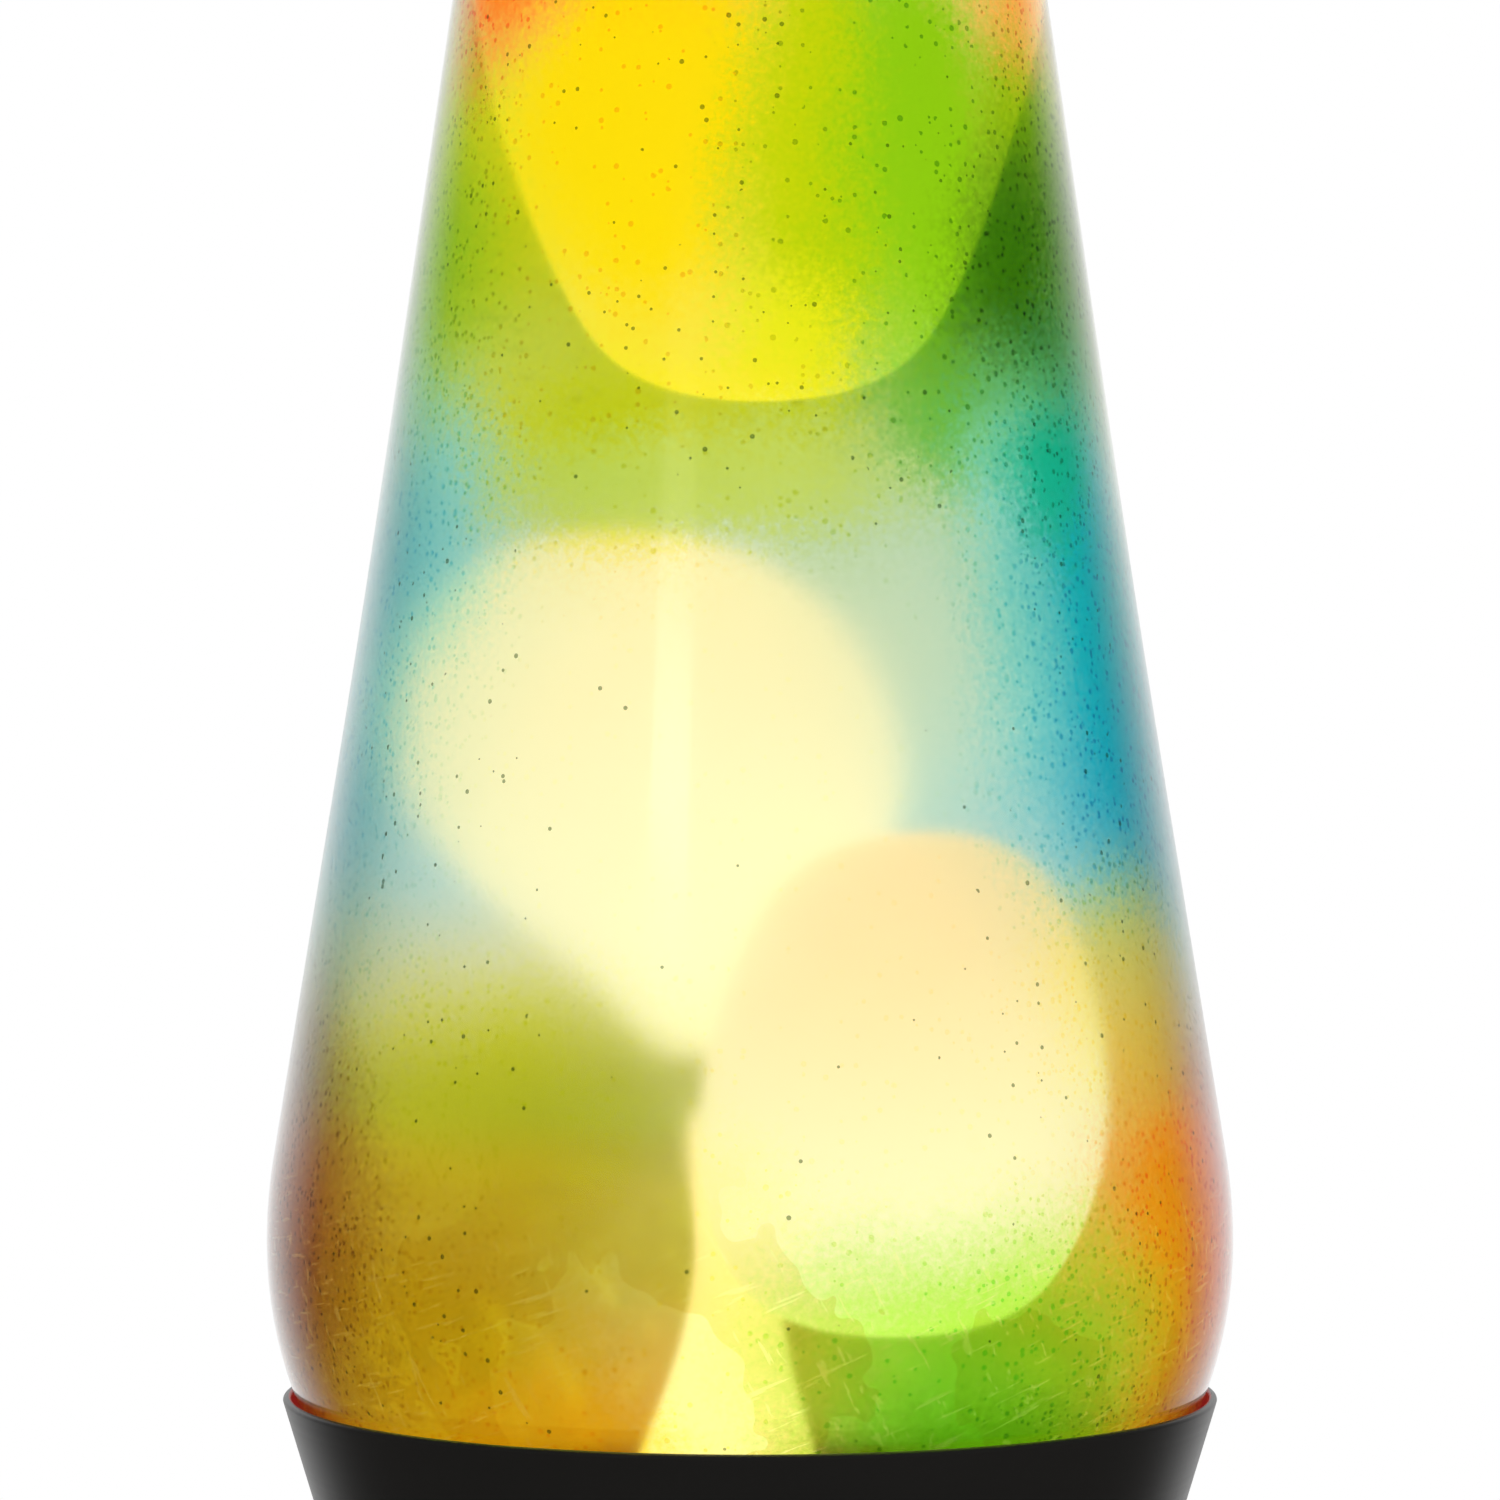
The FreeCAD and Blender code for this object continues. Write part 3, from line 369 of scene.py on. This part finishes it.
def sprayed_colour(s):
    """The paint's transmitted colour: overlapping soft sprays with grainy edges."""
    drift = s.vector("SUBTRACT", s.noise(55.0, 2.0, colour=True), (0.5, 0.5, 0.5))
    grit = s.vector("SUBTRACT", s.noise(1500.0, 2.0, 0.7, colour=True), (0.5, 0.5, 0.5))
    place = s.vector("ADD", s.place, s.scaled(drift, 0.009))
    place = s.vector("ADD", place, s.scaled(grit, 0.013))
    x, y, z = s.parts(place)
    flat = s.vector("NORMALIZE", s.joined(x, y, 0.0))
    around = s.vector("ADD", flat, s.joined(0.0, 0.0, z))
    colour = (0.96, 0.97, 0.93)
    for tint, azimuth, height, wide, high, strength in SPRAYS:
        turn = math.radians(azimuth)
        centre = (math.sin(turn), -math.cos(turn), height * MM)
        chord = 2 * math.sin(math.radians(min(wide, 180)) / 2) if wide < 360 else 9.0
        scale = (1 / chord, 1 / chord, 1 / (high * MM))
        away = s.vector("LENGTH", s.vector("MULTIPLY", s.vector("SUBTRACT", around, centre), scale))
        colour = s.mix(s.ramp(away, 0.30, 1.30, strength, 0.0), colour, tint)
    return colour


def squared(s, colour):
    """The colour of a coat of paint twice as thick."""
    return s.mix(1.0, colour, colour, "MULTIPLY")


def spattered(s, colour):
    """The paint's own marks: droplets that stand on it, and low down lapped edges and scuffs."""
    x, y, z = s.parts(s.place)
    sides = s.ramp(s.math("ABSOLUTE", x), 0.016, 0.028)
    crowd = s.math("MAXIMUM", s.ramp(z, 0.198, 0.224), sides)
    patchy = s.ramp(s.noise(70.0, 3.0), 0.38, 0.66, 0.06, 0.75)
    patchy = s.math("MULTIPLY", patchy, s.math("MULTIPLY_ADD", crowd, 0.90, 0.10))
    low = s.ramp(z, 0.154, 0.136)

    distance, chance = s.droplets(1500.0)
    picked, size, _ = s.parts(chance)
    mist = s.math("LESS_THAN", distance, s.math("MULTIPLY_ADD", size, 0.34, 0.10))
    dense = s.math("MULTIPLY_ADD", sides, 0.56, 0.14)
    mist = s.math("MULTIPLY", mist, s.math("LESS_THAN", picked, dense))
    colour = s.mix(s.math("MULTIPLY", mist, 0.80), colour, squared(s, squared(s, colour)))

    distance, chance = s.droplets(900.0)
    picked, size, _ = s.parts(chance)
    dots = s.math("LESS_THAN", distance, s.math("MULTIPLY_ADD", size, 0.19, 0.03))
    dots = s.math("MULTIPLY", dots, s.math("LESS_THAN", picked, patchy))
    darker = s.mix(1.0, colour, (0.05, 0.10, 0.04), "MULTIPLY")
    colour = s.mix(s.math("MULTIPLY", dots, 0.90), colour, darker)

    lapped = s.math("LESS_THAN", s.noise(46.0, 3.0, 0.6), 0.5)
    deeper = s.mix(1.0, colour, (0.86, 0.75, 0.36), "MULTIPLY")
    colour = s.mix(s.math("MULTIPLY", s.math("MULTIPLY", lapped, low), 0.85), colour, deeper)
    for slant, stretch in ((0.5, (1150.0, 1150.0, 240.0)), (-0.4, (240.0, 240.0, 2100.0))):
        sheared = s.joined(
            s.math("MULTIPLY_ADD", z, slant, x), y, s.math("MULTIPLY_ADD", x, slant, z)
        )
        streaks = s.noise(1.0, 2.0, 0.5, s.vector("MULTIPLY", sheared, stretch))
        scuffs = s.math("MULTIPLY", s.ramp(streaks, 0.635, 0.68), low)
        colour = s.mix(s.math("MULTIPLY", scuffs, 0.60), colour, (1.0, 0.97, 0.56))
    return colour, s.math("MAXIMUM", dots, mist)


def painted_glass(name, outside):
    """Clear glass under translucent sprayed paint. The outside also has the paint's droplets and
    wear, a top coat and a gloss that the inside, which the liquid wets, doesn't."""
    s = Surface(name)
    _, _, z = s.parts(s.place)
    colour = sprayed_colour(s)
    film = s.noise(34.0, 4.0, 0.6)
    haze = s.math("MULTIPLY", s.ramp(z, 0.138, 0.165), s.ramp(z, 0.218, 0.200))
    gloss = {"Specular_IOR_Level": 0.0}
    if outside:
        colour, marks = spattered(s, colour)
        peel = s.math("MULTIPLY_ADD", s.noise(420.0, 2.0), 0.6, s.math("MULTIPLY", marks, 0.5))
        gloss = {
            "Specular_IOR_Level": 0.5,
            "Coat_Weight": 0.5,
            "Coat_Roughness": 0.06,
            "Coat_IOR": 1.5,
            "Coat_Normal": s.bump(peel, 0.06, 0.00004),
        }
    return s.finish(
        s.principled(
            Base_Color=colour,
            Roughness=s.math("MULTIPLY_ADD", haze, 0.13, s.ramp(film, 0.3, 0.7, 0.07, 0.12)),
            IOR=1.45,
            Transmission_Weight=1.0,
            # a faint painted glow in the paint's colour, standing in for light scattered in the paint
            Emission_Color=colour,
            Emission_Strength=0.02,
            **gloss,
        )
    )


def clear_liquid():
    """The faintly cloudy liquid round the wax. It leaves reflections to the glass outside it."""
    s = Surface("clear_liquid")
    cloud = s.noise(30.0, 2.0)
    return s.finish(
        s.principled(
            Base_Color=s.mix(cloud, (0.985, 0.995, 0.98), (1.0, 1.0, 1.0)),
            Roughness=0.0,
            IOR=1.33,
            Specular_IOR_Level=0.0,
            Transmission_Weight=1.0,
        )
    )


def lit_wax(name, low, high, top=(1.0, 0.84, 0.42), strength=0.96):
    """Melted wax, with the bulb's light from below painted in as an emission. The painted glow is
    greener under low and warmer above high.
    """
    s = Surface(name)
    _, _, z = s.parts(s.place)
    cloud = s.noise(38.0, 3.0)
    glow = s.mix(s.ramp(z, low, high), (1.0, 0.98, 0.58), top)
    glow = s.mix(s.ramp(cloud, 0.3, 0.8, 0.0, 0.2), glow, (1.0, 1.0, 0.62))
    return s.finish(
        s.principled(
            Base_Color=s.mix(cloud, (0.22, 0.20, 0.10), (0.28, 0.26, 0.14)),
            Roughness=0.5,
            IOR=1.44,
            Specular_IOR_Level=0.2,
            # painted light of the bulb: greener low down, warmer towards the top
            Emission_Color=glow,
            Emission_Strength=strength,
            Normal=s.bump(cloud, 0.1, 0.0004),
        )
    )


# ---- mesh helpers -------------------------------------------------------------------------------


def rounded(corners, radii, steps=10):
    """Points along the path through the corners, in mm, with each inner corner rounded."""
    path = [Vector(corners[0])]
    for (ax, ay), (bx, by), (cx, cy), radius in zip(corners, corners[1:], corners[2:], radii):
        heading = math.atan2(by - ay, bx - ax)
        turn = math.atan2(cy - by, cx - bx) - heading
        turn = (turn + math.pi) % (2 * math.pi) - math.pi
        bend = math.copysign(radius, turn)
        cut = radius * math.tan(abs(turn) / 2)
        x = bx - cut * math.cos(heading) - bend * math.sin(heading)
        y = by - cut * math.sin(heading) + bend * math.cos(heading)
        for i in range(steps + 1):
            way = heading + turn * i / steps
            point = Vector((x + bend * math.sin(way), y - bend * math.cos(way)))
            if (point - path[-1]).length > 0.01:
                path.append(point)
    path.append(Vector(corners[-1]))
    return path


def filled_out(points, longest):
    """The same path with points added so that no step is longer than the given length."""
    path = [points[0]]
    for a, b in zip(points, points[1:]):
        count = max(1, math.ceil((b - a).length / longest))
        path += [a.lerp(b, i / count) for i in range(1, count + 1)]
    return path


def drop_outline(corners, count=56):
    """A clamped cubic B-spline drawn towards the corners."""
    last = len(corners) - 1
    knots = [0.0] * 4 + [i / (last - 2) for i in range(1, last - 2)] + [1.0] * 4
    outline = []
    for step in range(count + 1):
        t = min(step / count, 1 - 1e-9)
        span = max(i for i in range(3, last + 1) if knots[i] <= t)
        held = [Vector(corners[span - 3 + i]) for i in range(4)]
        for level in range(1, 4):
            for i in range(3, level - 1, -1):
                low = knots[span - 3 + i]
                high = knots[span + 1 + i - level]
                held[i] = held[i - 1].lerp(held[i], (t - low) / (high - low))
        outline.append(held[3])
    return outline


def lathe(name, outline, segments, shape=None):
    """A mesh turned about the axis from radius and height pairs in mm. shape(point) may move each
    point, also in mm. Points at radius 0 become poles."""
    vertices = []
    rows = []
    for radius, height in outline:
        if radius < 1e-4:
            rows.append([len(vertices)] * segments)
            vertices.append(Vector((0, 0, height)))
            continue
        rows.append(list(range(len(vertices), len(vertices) + segments)))
        for i in range(segments):
            turn = 2 * math.pi * i / segments
            vertices.append(Vector((radius * math.sin(turn), -radius * math.cos(turn), height)))
    if shape:
        vertices = [shape(v) for v in vertices]
    faces = []
    for low, high in zip(rows, rows[1:]):
        for i in range(segments):
            k = (i + 1) % segments
            corner = [low[i], low[k], high[k], high[i]]
            face = [v for n, v in enumerate(corner) if v not in corner[:n]]
            if len(face) > 2:
                faces.append(face)
    mesh = bpy.data.meshes.new(name)
    mesh.from_pydata([v * MM for v in vertices], [], faces)
    mesh.polygons.foreach_set("use_smooth", [True] * len(mesh.polygons))
    mesh.update()
    piece = bpy.data.objects.new(name, mesh)
    bpy.context.scene.collection.objects.link(piece)
    return piece


def wire(name, points, radius, cyclic=False):
    """A round wire along a smooth line through the points, in mm."""
    curve = bpy.data.curves.new(name, "CURVE")
    curve.dimensions = "3D"
    curve.bevel_depth = radius * MM
    curve.bevel_resolution = 3
    curve.resolution_u = 2
    spline = curve.splines.new("NURBS")
    spline.points.add(len(points) - 1)
    for target, point in zip(spline.points, points):
        target.co = (*(Vector(point) * MM), 1.0)
    spline.order_u = 3
    spline.use_cyclic_u = cyclic
    spline.use_endpoint_u = not cyclic
    piece = bpy.data.objects.new(name, curve)
    bpy.context.scene.collection.objects.link(piece)
    return piece


def dress(piece, material):
    """Gives a piece or a CAD node one material throughout."""
    slots = piece.data.materials
    if not slots:
        slots.append(material)
    for i in range(len(slots)):
        slots[i] = material


# ---- globe --------------------------------------------------------------------------------------

# Sizes in mm. They are those of the CAD globe.
GLOBE_RADIUS = 45.0
GLOBE_WIDEST = 138.4
GLOBE_FLOOR = 84.0
GLOBE_WALL = 2.2
GLOBE_SEGMENTS = 224
ROUNDING_BELOW = 40.0
ROUNDING_ABOVE = 50.0
LOWER_TAPER = math.radians(9.41)
UPPER_TAPER = math.radians(8.42)
HEEL_TAPER = math.radians(25.0)
TAPER_CHANGE = 199.0
SHOULDER_RADIUS = 16.2
NECK_RADIUS = 12.9
LIP_TOP = 345.0

BELLY_LOW = GLOBE_WIDEST - ROUNDING_BELOW * math.tan(HEEL_TAPER / 2)
CONE_START = GLOBE_WIDEST + ROUNDING_ABOVE * math.tan(LOWER_TAPER / 2)
BEND_RADIUS = GLOBE_RADIUS - (TAPER_CHANGE - CONE_START) * math.tan(LOWER_TAPER)
SHOULDER = TAPER_CHANGE + (BEND_RADIUS - SHOULDER_RADIUS) / math.tan(UPPER_TAPER)
HEEL_START_RADIUS, HEEL_START = 41.25, 121.5  # where the rounding below the belly ends
HEEL_RADIUS = HEEL_START_RADIUS - (HEEL_START - GLOBE_FLOOR) * math.tan(HEEL_TAPER)
GLOBE_CORNERS = [
    (0.0, GLOBE_FLOOR + 2.2),
    (9.0, GLOBE_FLOOR + 2.2),
    (14.0, GLOBE_FLOOR),
    (HEEL_RADIUS, GLOBE_FLOOR),
    (GLOBE_RADIUS, BELLY_LOW),
    (GLOBE_RADIUS, CONE_START),
    (BEND_RADIUS, TAPER_CHANGE),
    (SHOULDER_RADIUS, SHOULDER),
    (NECK_RADIUS, SHOULDER + 3.4),
    (NECK_RADIUS, LIP_TOP),
]
GLOBE_ROUNDINGS = [5.0, 3.0, 6.0, ROUNDING_BELOW, ROUNDING_ABOVE, 1800.0, 3.0, 3.0]
# From the neck round the bead and into the mouth.
LIP = [
    (NECK_RADIUS, 341.4),
    (13.1, 341.6),
    (13.3, 342.2),
    (13.3, 344.5),
    (13.1, 344.9),
    (12.6, LIP_TOP),
    (11.2, LIP_TOP),
    (10.8, 344.8),
]


def inset(points, depth):
    """The path moved to the left of its run, point by point."""
    moved = []
    for i, point in enumerate(points):
        way = (points[min(i + 1, len(points) - 1)] - points[max(i - 1, 0)]).normalized()
        moved.append(point + Vector((-way.y, way.x)) * depth)
    moved[0].x = 0.0
    return moved


def globe_outline():
    """The outside of the glass from the middle of its floor to its mouth."""
    return filled_out(rounded(GLOBE_CORNERS, GLOBE_ROUNDINGS), 3.0)


def make_globe():
    """The glass. Its inside has the outside's colours, without the marks."""
    outside = globe_outline()
    outer = [p for p in outside if p.y < LIP[0][1] - 0.4] + [Vector(p) for p in LIP]
    inner = [p for p in inset(outside, GLOBE_WALL) if p.y < LIP_TOP - 0.5]
    shell = lathe("globe", outer + inner[::-1], GLOBE_SEGMENTS)
    shell.data.materials.append(painted_glass("painted_glass", True))
    shell.data.materials.append(painted_glass("painted_glass_inside", False))
    for polygon in shell.data.polygons:
        polygon.material_index = 0 if polygon.index < (len(outer) - 1) * GLOBE_SEGMENTS else 1
    return shell


FILL_HEIGHT = 321.0
INTO_WALL = 0.08


def make_liquid():
    """Fills the globe and reaches a hair into its wall, so that no air shows between them."""
    wall = [p for p in inset(globe_outline(), GLOBE_WALL - INTO_WALL) if p.y < FILL_HEIGHT]
    edge = wall[-1]
    surface = [
        edge + Vector((-0.02, 0.5)),
        edge + Vector((-0.6, -0.3)),
        edge + Vector((-1.8, -1.0)),
        Vector((edge.x * 0.5, edge.y - 1.1)),
        Vector((0.0, edge.y - 1.1)),
    ]
    return lathe("liquid_fill", wall + surface, GLOBE_SEGMENTS)


# ---- wax ----------------------------------------------------------------------------------------

# Radius and height of the corners that each outline is drawn towards, in mm.
UPPER_WAX = [
    (0, 215.4),
    (8.4, 215.4),
    (14.0, 223.0),
    (17.4, 238.0),
    (20.6, 252.0),
    (20.8, 270.0),
    (14.0, 284.0),
    (0, 284.0),
]
MIDDLE_WAX = [
    (0, 154.0),
    (2.6, 154.0),
    (5.2, 160.5),
    (11.5, 167.0),
    (17.8, 177.0),
    (16.9, 192.5),
    (8.0, 203.0),
    (0, 203.0),
]
RIGHT_WAX = [
    (0, 132.6),
    (8.8, 132.6),
    (14.6, 138.0),
    (17.0, 150.0),
    (14.8, 165.0),
    (9.2, 176.5),
    (0, 176.5),
]
NECK_OF_WAX = [
    (0, 151.0),
    (3.6, 151.0),
    (3.8, 145.0),
    (2.4, 137.0),
    (4.0, 128.0),
    (8.4, 117.0),
    (13.0, 106.0),
    (20.0, 100.8),
    (25.0, 98.8),
]
POOL_TOP = 99.7
POOL_GAP = 0.15  # from the glass


def wobble(v, amount, scale, seed):
    """A slow swell of a wax surface."""
    offset = Vector((seed, seed * 0.7, seed * 1.3))
    return noise.noise(v * scale + offset) * amount


def wax_blob(name, corners, place, lean, amount, seed):
    """A drop of wax turned on its own axis, leaning and swelling a little."""
    low = corners[0][1]
    slope = math.tan(math.radians(lean))

    def shape(v):
        side = Vector((v.x, v.y, 0.0))
        if side.length > 1e-6:
            v = v + side.normalized() * (wobble(v, amount, 0.06, seed) - amount * 0.3)
        return v + Vector((place[0] + (v.z - low) * slope, place[1], 0.0))

    return lathe(name, drop_outline(corners), 128, shape)


def make_pool():
    """The pool with the neck that rises from it, in one skin. The neck stands off the axis, leans
    and swells."""
    inside = [p for p in inset(globe_outline(), GLOBE_WALL + POOL_GAP) if p.y < POOL_TOP - 0.1]
    neck = [p for p in drop_outline(NECK_OF_WAX, 64) if p.y > POOL_TOP][::-1]
    level = POOL_TOP + 0.05
    skin = inside + [Vector((inside[-1].x - 0.3, level)), Vector((neck[0].x + 2.0, level))] + neck

    def shape(v):
        risen = min(max((v.z - POOL_TOP) / 8.0, 0.0), 1.0)
        moved = v + Vector((-2.0, 7.0, 0.0)) * risen
        moved.x += max(v.z - 112.0, 0.0) * 0.045
        if v.z > 104.0 and (v.x or v.y):
            side = Vector((v.x, v.y, 0.0)).normalized()
            moved += side * wobble(v, 0.25, 0.09, 4.0)
        return moved

    return lathe("wax_pool_skin", skin, 160, shape)


def make_coil():
    """The wire coil wound into a ring on the globe's floor."""
    turns, ring, tube, height, wire_radius = 58, 16.0, 1.95, 89.2, 0.42
    steps = 10  # in a turn
    points = []
    for i in range(turns * steps):
        big = 2 * math.pi * i / (turns * steps)
        small = 2 * math.pi * i / steps
        reach = ring + tube * math.cos(small)
        points.append((reach * math.sin(big), -reach * math.cos(big), height + tube * math.sin(small)))
    return wire("heat_coil", points, wire_radius, cyclic=True)


def make_filament():
    """The coiled wire between the leads, bent into half a ring."""
    turns, ring, tube, height, wire_radius = 46, 7.0, 0.30, 52.0, 0.07
    steps = 8  # in a turn
    count = turns * steps
    points = []
    for i in range(count + 1):
        big = math.pi * i / count
        small = 2 * math.pi * i / steps
        reach = ring + tube * math.cos(small)
        points.append((reach * math.cos(big), reach * math.sin(big), height + tube * math.sin(small)))
    return wire("filament_coil", points, wire_radius)


# ---- the lamp in Blender ------------------------------------------------------------------------

globe = make_globe()
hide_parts("globe_glass")
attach(globe, "globe")

fill = make_liquid()
dress(fill, clear_liquid())
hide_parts("liquid")
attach(fill, "globe")

pool = make_pool()
dress(pool, lit_wax("wax_low", 0.105, 0.150, strength=1.15))
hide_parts("wax_pool")
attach(pool, "globe")

# Each blob: name, corners, place across and along the view, lean in degrees, swell in mm, the
# heights in m between which its glow changes, and the glow at its top.
blobs = [
    ("upper", UPPER_WAX, (0.6, 0.0), 0.0, 0.35, (0.215, 0.285), (1.0, 0.90, 0.48)),
    ("middle", MIDDLE_WAX, (-4.2, 8.0), -5.0, 0.5, (0.160, 0.203), (1.0, 0.85, 0.42)),
    ("right", RIGHT_WAX, (11.0, -12.5), 3.5, 0.6, (0.140, 0.178), (1.0, 0.72, 0.32)),
]
for seed, (name, corners, place, lean, swell, (low, high), top) in enumerate(blobs):
    blob = wax_blob(f"wax_{name}_skin", corners, place, lean, swell, seed)
    dress(blob, lit_wax(f"wax_{name}_glow", low, high, top=top))
    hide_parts(f"wax_blob_{name}")
    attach(blob, f"wax_{name}")

coil = make_coil()
dress(coil, metal("coil_wire", (0.40, 0.38, 0.35), (0.62, 0.60, 0.56), 0.35))
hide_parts("wax_coil")
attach(coil, "globe")

filament = make_filament()
dress(filament, hot_filament())
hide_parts("bulb_filament")
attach(filament, "bulb")

lacquer = black_lacquer()
zinc = metal("zinc_plate", (0.52, 0.52, 0.50), (0.70, 0.70, 0.66), 0.34, tarnish=(0.45, 0.44, 0.36))
brass = metal("brass", (0.66, 0.46, 0.18), (0.80, 0.60, 0.30), 0.30, tarnish=(0.40, 0.27, 0.12))
rubber = moulded("black_rubber", (0.012, 0.012, 0.012), (0.028, 0.027, 0.026), 0.68, 1200.0)
finishes = {
    "base_shell": lacquer,
    "top_cap": lacquer,
    "cord_grommet": rubber,
    "bottom_cover": moulded("black_plastic", (0.014, 0.014, 0.014), (0.026, 0.026, 0.025), 0.48),
    "cover_screws": zinc,
    "cover_nuts": zinc,
    "holder_bracket": zinc,
    "bracket_screws": zinc,
    "holder_rivets": brass,
    "lampholder_body": moulded("phenolic", (0.030, 0.016, 0.010), (0.055, 0.030, 0.018), 0.34, 900.0),
    "lampholder_shell": brass,
    "lampholder_contact": brass,
    "terminal_screws": brass,
    "bulb_contact": metal("solder", (0.50, 0.50, 0.50), (0.66, 0.66, 0.65), 0.42),
    "bulb_insulator": moulded("vitrite", (0.008, 0.008, 0.010), (0.020, 0.020, 0.024), 0.20, 700.0),
    "bulb_cap": brass,
    "bulb_envelope": clear_glass("bulb_glass", (0.97, 0.97, 0.94), 0.04, 0.9),
    "bulb_stem": clear_glass("stem_glass", (0.92, 0.95, 0.92), 0.08, 0.2),
    "bulb_leads": metal("nickel_wire", (0.40, 0.39, 0.36), (0.60, 0.58, 0.54), 0.30),
    "globe_seat": metal("pressed_aluminium", (0.60, 0.59, 0.57), (0.78, 0.77, 0.75), 0.38),
    "seat_cushion": moulded("silicone", (0.60, 0.58, 0.52), (0.72, 0.70, 0.64), 0.45, 1000.0),
    "crown_cap": metal("tinned_steel", (0.66, 0.64, 0.58), (0.82, 0.80, 0.74), 0.26),
    "crown_liner": moulded("liner", (0.55, 0.55, 0.52), (0.68, 0.68, 0.64), 0.55),
}
finishes.update({f"rubber_foot_{i}": rubber for i in range(1, 5)})
for node, material in finishes.items():
    dress(nodes[node], material)


# ---- floor, light and camera --------------------------------------------------------------------


def make_floor():
    """A pale sweep that fades into the background away from the lamp. In mirror reflections it is
    dark in front of the lamp, as the studio is."""
    floor = lathe("floor", [(0.0, 0.0), (300.0, 0.0), (900.0, 0.0), (6000.0, 0.0)], 96)
    s = Surface("pale_floor")
    away = s.vector("LENGTH", s.place)
    grain = s.noise(900.0, 3.0)
    card = s.principled(
        Base_Color=s.mix(grain, (0.82, 0.82, 0.81), (0.86, 0.86, 0.85)),
        Roughness=0.7,
        Normal=s.bump(grain, 0.1, 0.0001),
    )
    far = s.add("ShaderNodeEmission")
    far.inputs["Color"].default_value = (1.0, 1.0, 1.0, 1.0)
    dim = s.add("ShaderNodeEmission")
    dim.inputs["Color"].default_value = (0.03, 0.03, 0.03, 1.0)
    mixed = s.add("ShaderNodeMixShader")
    s.feed(mixed.inputs[0], s.ramp(away, 0.22, 0.70))
    s.feed(mixed.inputs[1], card)
    s.feed(mixed.inputs[2], far.outputs[0])
    path = s.add("ShaderNodeLightPath").outputs
    seen = s.add("ShaderNodeMixShader")
    _, y, _ = s.parts(s.vector("NORMALIZE", s.place))
    mirrored = s.math("MULTIPLY", path["Is Glossy Ray"], path["Is Reflection Ray"])
    s.feed(seen.inputs[0], s.math("MULTIPLY", mirrored, s.ramp(y, 0.50, 0.97, 1.0, 0.0)))
    s.feed(seen.inputs[1], mixed.outputs[0])
    s.feed(seen.inputs[2], dim.outputs[0])
    dress(floor, s.finish(seen.outputs[0]))


def soft_box(name, azimuth, distance, height, size, watts):
    """A rectangular studio light that faces the lamp, at an azimuth that is positive to the right."""
    data = bpy.data.lights.new(name, "AREA")
    data.shape = "RECTANGLE"
    data.size, data.size_y = size
    data.energy = watts
    light = bpy.data.objects.new(name, data)
    turn = math.radians(azimuth)
    light.location = (distance * math.sin(turn), -distance * math.cos(turn), height)
    aim = Vector((0.0, 0.0, 0.18)) - light.location
    light.rotation_euler = aim.to_track_quat("-Z", "Y").to_euler()
    light.visible_camera = False
    bpy.context.scene.collection.objects.link(light)


make_floor()
soft_box("key_box", -22.0, 1.5, 0.59, (0.28, 0.045), 0.12)


def make_studio():
    """White all round. In mirror reflections the side in front of the lamp is dark."""
    world = bpy.data.worlds.new("studio")
    world.use_nodes = True
    tree = world.node_tree
    background = tree.nodes["Background"]
    background.inputs["Color"].default_value = (1.0, 1.0, 1.0, 1.0)
    path = tree.nodes.new("ShaderNodeLightPath")
    towards = tree.nodes.new("ShaderNodeTexCoord")
    parts = tree.nodes.new("ShaderNodeSeparateXYZ")
    tree.links.new(towards.outputs["Generated"], parts.inputs[0])
    dark = tree.nodes.new("ShaderNodeMapRange")
    dark.interpolation_type = "SMOOTHSTEP"
    tree.links.new(parts.outputs[1], dark.inputs[0])
    for socket, number in zip(list(dark.inputs)[1:5], (0.50, 0.97, 0.97, 0.0)):
        socket.default_value = number
    mirror = tree.nodes.new("ShaderNodeMath")
    mirror.operation = "MULTIPLY"
    tree.links.new(path.outputs["Is Glossy Ray"], mirror.inputs[0])
    tree.links.new(path.outputs["Is Reflection Ray"], mirror.inputs[1])
    less = tree.nodes.new("ShaderNodeMath")
    less.operation = "MULTIPLY"
    tree.links.new(mirror.outputs[0], less.inputs[0])
    tree.links.new(dark.outputs[0], less.inputs[1])
    strength = tree.nodes.new("ShaderNodeMath")
    strength.operation = "SUBTRACT"
    strength.inputs[0].default_value = 1.0
    tree.links.new(less.outputs[0], strength.inputs[1])
    tree.links.new(strength.outputs[0], background.inputs["Strength"])
    return world


scene = bpy.context.scene
scene.world = make_studio()
scene.view_settings.view_transform = "Standard"

VIEW_HEIGHT = 0.1395  # of the lamp that fills the picture, in m
AIM = Vector((0.0, 0.0, 0.1842))
camera_data = bpy.data.cameras.new("camera")
camera = bpy.data.objects.new("camera", camera_data)
camera.location = (0.0, -0.75, 0.220)
view = AIM - camera.location
camera.rotation_euler = view.to_track_quat("-Z", "Y").to_euler()
camera_data.angle = 2 * math.atan(VIEW_HEIGHT / 2 / view.length)
camera_data.clip_start = 0.01
camera_data.clip_end = 50.0
scene.collection.objects.link(camera)
scene.camera = camera
